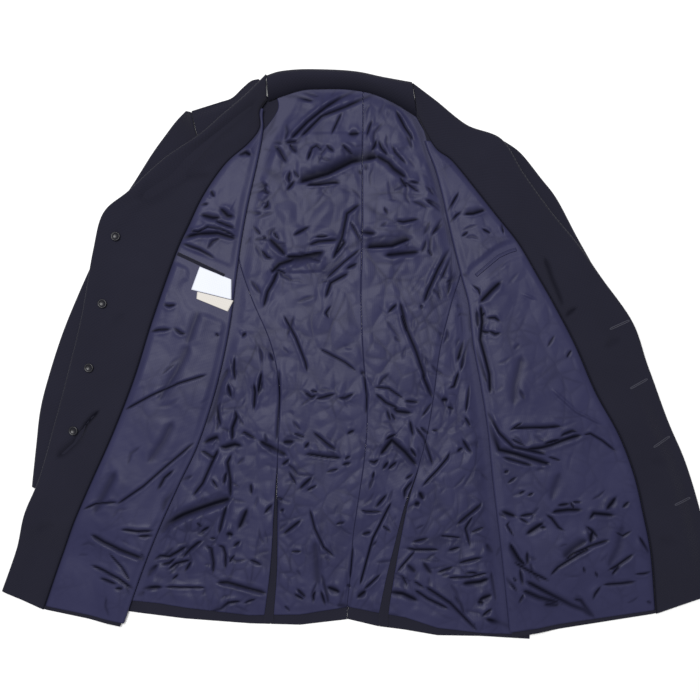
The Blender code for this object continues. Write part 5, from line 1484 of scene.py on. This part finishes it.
@dataclass
class FlatSleeve:
    """A sleeve pressed flat, open at the armhole and the cuff."""
    side: str
    table: tuple

    def make(self, wool: bpy.types.Material) -> bpy.types.Object:
        """Build the sleeve."""
        table = self.table
        at = np.linspace(0, len(table) - 1, SLEEVE_ROWS)
        outer = places(table, "outer", at)
        run = places(table, "inner", at) - outer
        width = np.hypot(*run.T)
        way = run / width[:, None]
        half = column(table, "height", at) / 2
        stations = []

        def add(across: Array, height: Array) -> None:
            stations.append(np.column_stack((outer + way * across[:, None], height)))

        def turn(middle: Array, side: int) -> None:
            for step in range(1, SLEEVE_TURN):
                angle = math.pi * step / SLEEVE_TURN
                add(middle + side * half * math.sin(angle), half + side * half * math.cos(angle))

        for share in np.linspace(0, 1, SLEEVE_COLUMNS):
            add(mix(half, width - half, share), 2 * half)
        turn(width - half, 1)
        for share in np.linspace(1, 0, SLEEVE_BELOW):
            add(mix(half, width - half, share), 0 * half)
        turn(half, -1)
        stations.append(stations[0].copy())
        return Sheet("sleeve_" + self.side + "_cloth", laid_out(stations), SLEEVE_WOOL, wool,
                     "sleeve_" + self.side, "wool", ("table",), closed=True).make()


@dataclass
class Collar:
    """The collar, rolled over at the neck with its fall turned under."""

    def make(self, wool: bpy.types.Material) -> bpy.types.Object:
        """Build the collar."""
        at = np.linspace(-COLLAR_OVER, len(COLLAR) - 1 + COLLAR_OVER, COLLAR_COLUMNS)
        inner = places(COLLAR, "inner", at)
        run = places(COLLAR, "outer", at) - inner
        length = np.hypot(*run.T)
        way = run / length[:, None]
        width = length - COLLAR_ROLL
        half = COLLAR_WOOL / 2
        stations, folds = [], []

        def add(across: Array, height: float) -> None:
            stations.append(np.column_stack((inner + way * across[:, None], np.full(len(at), height))))

        for share in np.linspace(0, 1, COLLAR_ROWS):
            # Painted shade, darkest along the collar's seam with the lining.
            folds.append(np.full(len(at), COLLAR_SHADE * (1 - share) ** 2))
            add(width * share, mix(COLLAR_SEAT + half, 2 * COLLAR_ROLL, float(ease(share))))
        for step in range(1, COLLAR_STEPS):
            angle = math.pi * step / COLLAR_STEPS
            add(width + COLLAR_ROLL * math.sin(angle), COLLAR_ROLL * (1 + math.cos(angle)))
        for back in (0.0, COLLAR_TURN / 2, COLLAR_TURN):
            add(width - back, 0.0)
        return Sheet("collar_cloth", laid_out(stations, folds), COLLAR_WOOL, wool, "collar", "wool",
                     ("back", "lining"), rim=COLLAR_RIM).make()


@dataclass
class Shoulder:
    """The shoulder end of the right front, from its outline to under the lapel."""

    def make(self, wool: bpy.types.Material) -> bpy.types.Object:
        """Build the shoulder."""
        at = np.linspace(-SHOULDER_OVER, len(SHOULDER_RIGHT) - 1, SHOULDER_ROWS)
        outer = places(SHOULDER_RIGHT, "outer", at)
        run = places(SHOULDER_RIGHT, "inner", at) - outer
        width = np.hypot(*run.T)
        stations = []
        for share in np.linspace(0, 1, SHOULDER_COLUMNS):
            height = mix(SHOULDER_SEAT, SHOULDER_TOP, ease(share * width / SHOULDER_DROP))
            stations.append(np.column_stack((outer + run * share, height)))
        return Sheet("shoulder_right_cloth", laid_out(stations), FRONT_WOOL, wool, "shoulder_right",
                     "wool", ("back",), rim=WOOL_RIM).make()


# ---------------------------------------------------------------- small pieces

WELT_HALF = 2.5         # half the width of a pocket's mouth
WELT_COLUMNS = 9
WELT_STEP = 1.5
WELT_CLOTH = 0.8
WELT_SEAT = 0.7         # its height over the lining, at its edges
WELT_LIP = 0.9          # how far each of its two lips rises
LABEL_GRID = (24, 20)
LABEL_CLOTH = 0.6
LABEL_SEAT = 1.4
BUTTON = ((0, 1.3), (3.2, 1.3), (4.2, 1.9), (5.2, 2.6), (6.1, 2.5), (6.5, 1.8), (6.2, 0.6),
          (5.0, 0), (0, 0))   # half its section: radius, height
BUTTON_RADIUS = 6.5
BUTTON_SEAT = 0.6
BUTTON_STEPS = 40
HOLE_STEPS = 64         # stitches round a buttonhole
HOLE_SIDES = 7          # places across a stitch
HOLE_HALF = 1.0         # half the width of the slit
STITCH = 0.75           # radius of a stitch
STITCH_UNEVEN = 0.12
STITCH_SEAT = 0.1
HOLE_ENDS = 0.3         # how square a buttonhole's ends are
HOLE_FLANKS = 0.6       # the same for its long sides


@dataclass
class Trim:
    """The pocket mouths, labels, button backs and buttonholes of the fronts."""
    right: FrontHalf
    left: FrontHalf

    def welt(self, node: str, line: Line, half: FrontHalf, cloth: bpy.types.Material, slot: str) -> None:
        """A narrow raised mouth of a pocket along a line."""
        total = to_line(line, np.zeros(1), np.zeros(1))[2]
        stations = [[] for _ in range(WELT_COLUMNS)]
        for share in np.linspace(0, 1, int(total / WELT_STEP)):
            x, y, angle = point_along(line, share)
            for index, aside in enumerate(np.linspace(-WELT_HALF, WELT_HALF, WELT_COLUMNS)):
                px, py = x - math.sin(angle) * aside, y + math.cos(angle) * aside
                lip = WELT_LIP * math.sqrt(abs(math.sin(math.pi * (aside + WELT_HALF) / WELT_HALF)))
                stations[index].append((px, py, half.top(px, py, False) + WELT_SEAT + lip))
        grid = laid_out([np.array(station) for station in stations])
        Sheet(node + "_cloth", grid, WELT_CLOTH, cloth, node, slot, ("lining_front_" + half.side,)).make()

    def label(self, node: str, corners: tuple, cloth: bpy.types.Material) -> None:
        """A blank label between its four corners."""
        top_left, top_right, low_right, low_left = (np.array(corner) for corner in corners)
        stations = []
        for share in np.linspace(0, 1, LABEL_GRID[0]):
            station = []
            for down in np.linspace(0, 1, LABEL_GRID[1]):
                place = mix(mix(top_left, top_right, share), mix(low_left, low_right, share), down)
                station.append((*place, self.right.top(*place, False) + LABEL_SEAT))
            stations.append(np.array(station))
        Sheet(node + "_cloth", laid_out(stations), LABEL_CLOTH, cloth, node, node,
              ("lining_front_right",)).make()

    def button(self, index: int, x: float, y: float, horn: bpy.types.Material) -> None:
        """A small dished disc with a raised rim."""
        reach = (-BUTTON_RADIUS, BUTTON_RADIUS)
        base = max(self.right.top(x + side, y + up, True) for side in reach for up in reach) + BUTTON_SEAT
        bm = bmesh.new()
        verts = [bm.verts.new((radius * MM, 0, height * MM)) for radius, height in BUTTON]
        edges = [bm.edges.new(pair) for pair in zip(verts, verts[1:])]
        bmesh.ops.spin(bm, geom=verts + edges, cent=(0, 0, 0), axis=(0, 0, 1), angle=math.tau,
                       steps=BUTTON_STEPS, use_merge=True)
        bmesh.ops.remove_doubles(bm, verts=bm.verts, dist=SEWN)
        bmesh.ops.recalc_face_normals(bm, faces=bm.faces)
        bmesh.ops.translate(bm, verts=bm.verts, vec=Vector((x, y, base)) * MM)
        name = f"button_back_{index}"
        mesh = to_mesh(bm, name, horn)
        mesh.shade_smooth()
        piece = add_object(name + "_disc", mesh)
        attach(piece, "root")
        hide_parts(name)

    def buttonhole(self, index: int, ends: Line, thread: bpy.types.Material,
                   slit_shade: bpy.types.Material) -> None:
        """A buttonhole of the left facing: a low ridge of thread round a slit closed by a near-black face,
        painted shade in place of the shade inside the slit.
        """
        (x, y), (end_x, end_y) = ends
        half = math.hypot(end_x - x, end_y - y) / 2
        angle = math.atan2(end_y - y, end_x - x)
        middle = Vector(((x + end_x) / 2, (y + end_y) / 2, 0))
        bm = bmesh.new()
        rings = []
        for step in range(HOLE_STEPS):
            turn = math.tau * step / HOLE_STEPS
            along, across = math.cos(turn), math.sin(turn)
            ring = []
            for side in range(HOLE_SIDES):
                tilt = math.pi * side / (HOLE_SIDES - 1)
                out = STITCH * math.cos(tilt) + STITCH_UNEVEN * (step % 2)
                place = Vector(((half + out) * math.copysign(abs(along) ** HOLE_ENDS, along),
                                (HOLE_HALF + out) * math.copysign(abs(across) ** HOLE_FLANKS, across), 0))
                place.rotate(Euler((0, 0, angle)))
                place += middle
                place.z = self.left.top(place.x, place.y, True) + STITCH_SEAT + STITCH * math.sin(tilt)
                ring.append(bm.verts.new(place * MM))
            rings.append(ring)
        for ring, after in zip(rings, rings[1:] + rings[:1]):
            for side in range(HOLE_SIDES):
                other = (side + 1) % HOLE_SIDES
                bm.faces.new((ring[side], after[side], after[other], ring[other]))
        # The face across the slit takes the near-black painted shade.
        hole = bm.faces.new([ring[-1] for ring in rings])
        bmesh.ops.recalc_face_normals(bm, faces=bm.faces)
        hole.material_index = 1
        name = f"buttonhole_{index}"
        piece = add_object(name, to_mesh(bm, name, thread, slit_shade))
        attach(piece, "root")


# ---------------------------------------------------------------- the room

@dataclass
class Studio:
    """The pale floor, the soft light and the camera straight above.

    Attributes:
        floor_shade, floor_roughness: of the floor.
        floor_half: half the width of the floor, in metres.
        floor_gap: how far below the jacket it lies, in metres.
        key_place: where the light hangs, in metres.
        key_size: its width, in metres.
        key_power: in watts.
        surround: strength of the white surround.
        look: the place below the camera.
        lens, sensor: of the camera.
        frame_width: width of the picture at the floor.
    """
    floor_shade: float = 0.9
    floor_roughness: float = 0.9
    floor_half: float = 6.0
    floor_gap: float = 0.0006
    key_place: tuple = (-0.35, 0.5, 2.6)
    key_size: float = 1.1
    key_power: float = 79.0
    surround: float = 0.32
    look: tuple = (-13.6, 6.4)
    lens: float = 50.0
    sensor: float = 36.0
    frame_width: float = 1001.0

    def build(self) -> None:
        """Set the room up."""
        self.floor()
        self.lights()
        self.camera()

    def floor(self) -> None:
        """A wide plain floor just below the jacket."""
        bm = bmesh.new()
        bmesh.ops.create_grid(bm, x_segments=1, y_segments=1, size=self.floor_half)
        bmesh.ops.translate(bm, verts=bm.verts, vec=(0, 0, -self.floor_gap))
        paint = bpy.data.materials.new("floor")
        paint.use_nodes = True
        shader = paint.node_tree.nodes["Principled BSDF"].inputs
        shader["Base Color"].default_value = (*[self.floor_shade] * 3, 1)
        shader["Roughness"].default_value = self.floor_roughness
        add_object("floor", to_mesh(bm, "floor", paint))

    def lights(self) -> None:
        """A soft square light above the jacket, towards the collar, and an even white surround."""
        data = bpy.data.lights.new("key", "AREA")
        data.size = self.key_size
        data.energy = self.key_power
        lamp = add_object("key", data)
        lamp.location = self.key_place
        lamp.rotation_euler = (-Vector(self.key_place)).to_track_quat("-Z", "Y").to_euler()
        world = bpy.data.worlds.new("surround")
        world.use_nodes = True
        background = world.node_tree.nodes["Background"].inputs
        background["Color"].default_value = (1, 1, 1, 1)
        background["Strength"].default_value = self.surround
        bpy.context.scene.world = world
        bpy.context.scene.view_settings.view_transform = "Standard"

    def camera(self) -> None:
        """A camera straight above, framed as the photograph."""
        data = bpy.data.cameras.new("camera")
        data.lens = self.lens
        data.sensor_width = self.sensor
        data.dof.use_dof = False
        camera = add_object("camera", data)
        distance = self.frame_width * self.lens / self.sensor
        camera.location = Vector((*self.look, distance)) * MM
        bpy.context.scene.camera = camera


# ---------------------------------------------------------------- the jacket

def main() -> None:
    """Build the jacket and the room."""
    logging.basicConfig(level=logging.INFO, format="%(message)s")
    noise.seed_set(SEED)
    groups = {"weave": weave_group(), "mottle": mottle_group()}
    cloth = {kind: kind.value.material(groups) for kind in Cloth}
    wool, satin = cloth[Cloth.WOOL], cloth[Cloth.SATIN]
    back = BackWool()
    back.make(wool)
    back.vents(wool)
    full = Crumple(BACK_CREASES, small=340, seed=SEED, fullness=2.6, puff=2.8, box=(-345, 232, -405, 385))
    open_right, open_left = VENT_SHARES_RIGHT, VENT_SHARES_LEFT
    for panel in (BackLining("lining_back_right", 0, "seam_right", "centre", full, low_open=open_right[1]),
                  BackLining("lining_back_left", 0, "centre", "seam_left", full),
                  BackLining("lining_side_right", SIDE_START, "side_right", "seam_right", full,
                             high_open=open_right[0]),
                  BackLining("lining_side_left", SIDE_START, "seam_left", "side_left", full,
                             low_open=open_left[1])):
        panel.make(satin)
    label_line = (*LABEL_WHITE, *LABEL_CREAM[1:], LABEL_WHITE[0])
    right = FrontHalf("right", FRONT_RIGHT,
                      Crumple(RIGHT_CREASES, small=30, seed=SEED + 2, fullness=1.8, puff=0.9,
                              box=(-470, -125, -400, 350)),
                      FACING_RIGHT_CREASES, ((label_line, LABEL_FLAT), (POCKET_RIGHT, POCKET_FLAT)))
    left = FrontHalf("left", FRONT_LEFT,
                     Crumple(LEFT_CREASES, small=50, seed=SEED + 5, fullness=1.8, puff=1.2,
                             box=(80, 430, -410, 340)),
                     FACING_LEFT_CREASES, ((POCKET_LEFT, POCKET_FLAT),))
    for half in (right, left):
        half.facing(wool)
        half.lining(satin)
        half.wool(wool)
    FlatSleeve("right", SLEEVE_RIGHT).make(wool)
    FlatSleeve("left", SLEEVE_LEFT).make(wool)
    Collar().make(wool)
    Shoulder().make(wool)
    trim = Trim(right, left)
    trim.welt("pocket_welt_right", POCKET_RIGHT, right, wool, "wool")
    trim.welt("pocket_welt_left", POCKET_LEFT, left, satin, "satin")
    trim.label("label_white", LABEL_WHITE, cloth[Cloth.WHITE])
    trim.label("label_cream", LABEL_CREAM, cloth[Cloth.CREAM])
    for index, (x, y) in enumerate(BUTTONS):
        trim.button(index + 1, x, y, cloth[Cloth.HORN])
    for index, ends in enumerate(BUTTONHOLES):
        trim.buttonhole(index + 1, ends, cloth[Cloth.THREAD], cloth[Cloth.SLIT_SHADE])
    Studio().build()


if __name__ == "__main__":
    main()
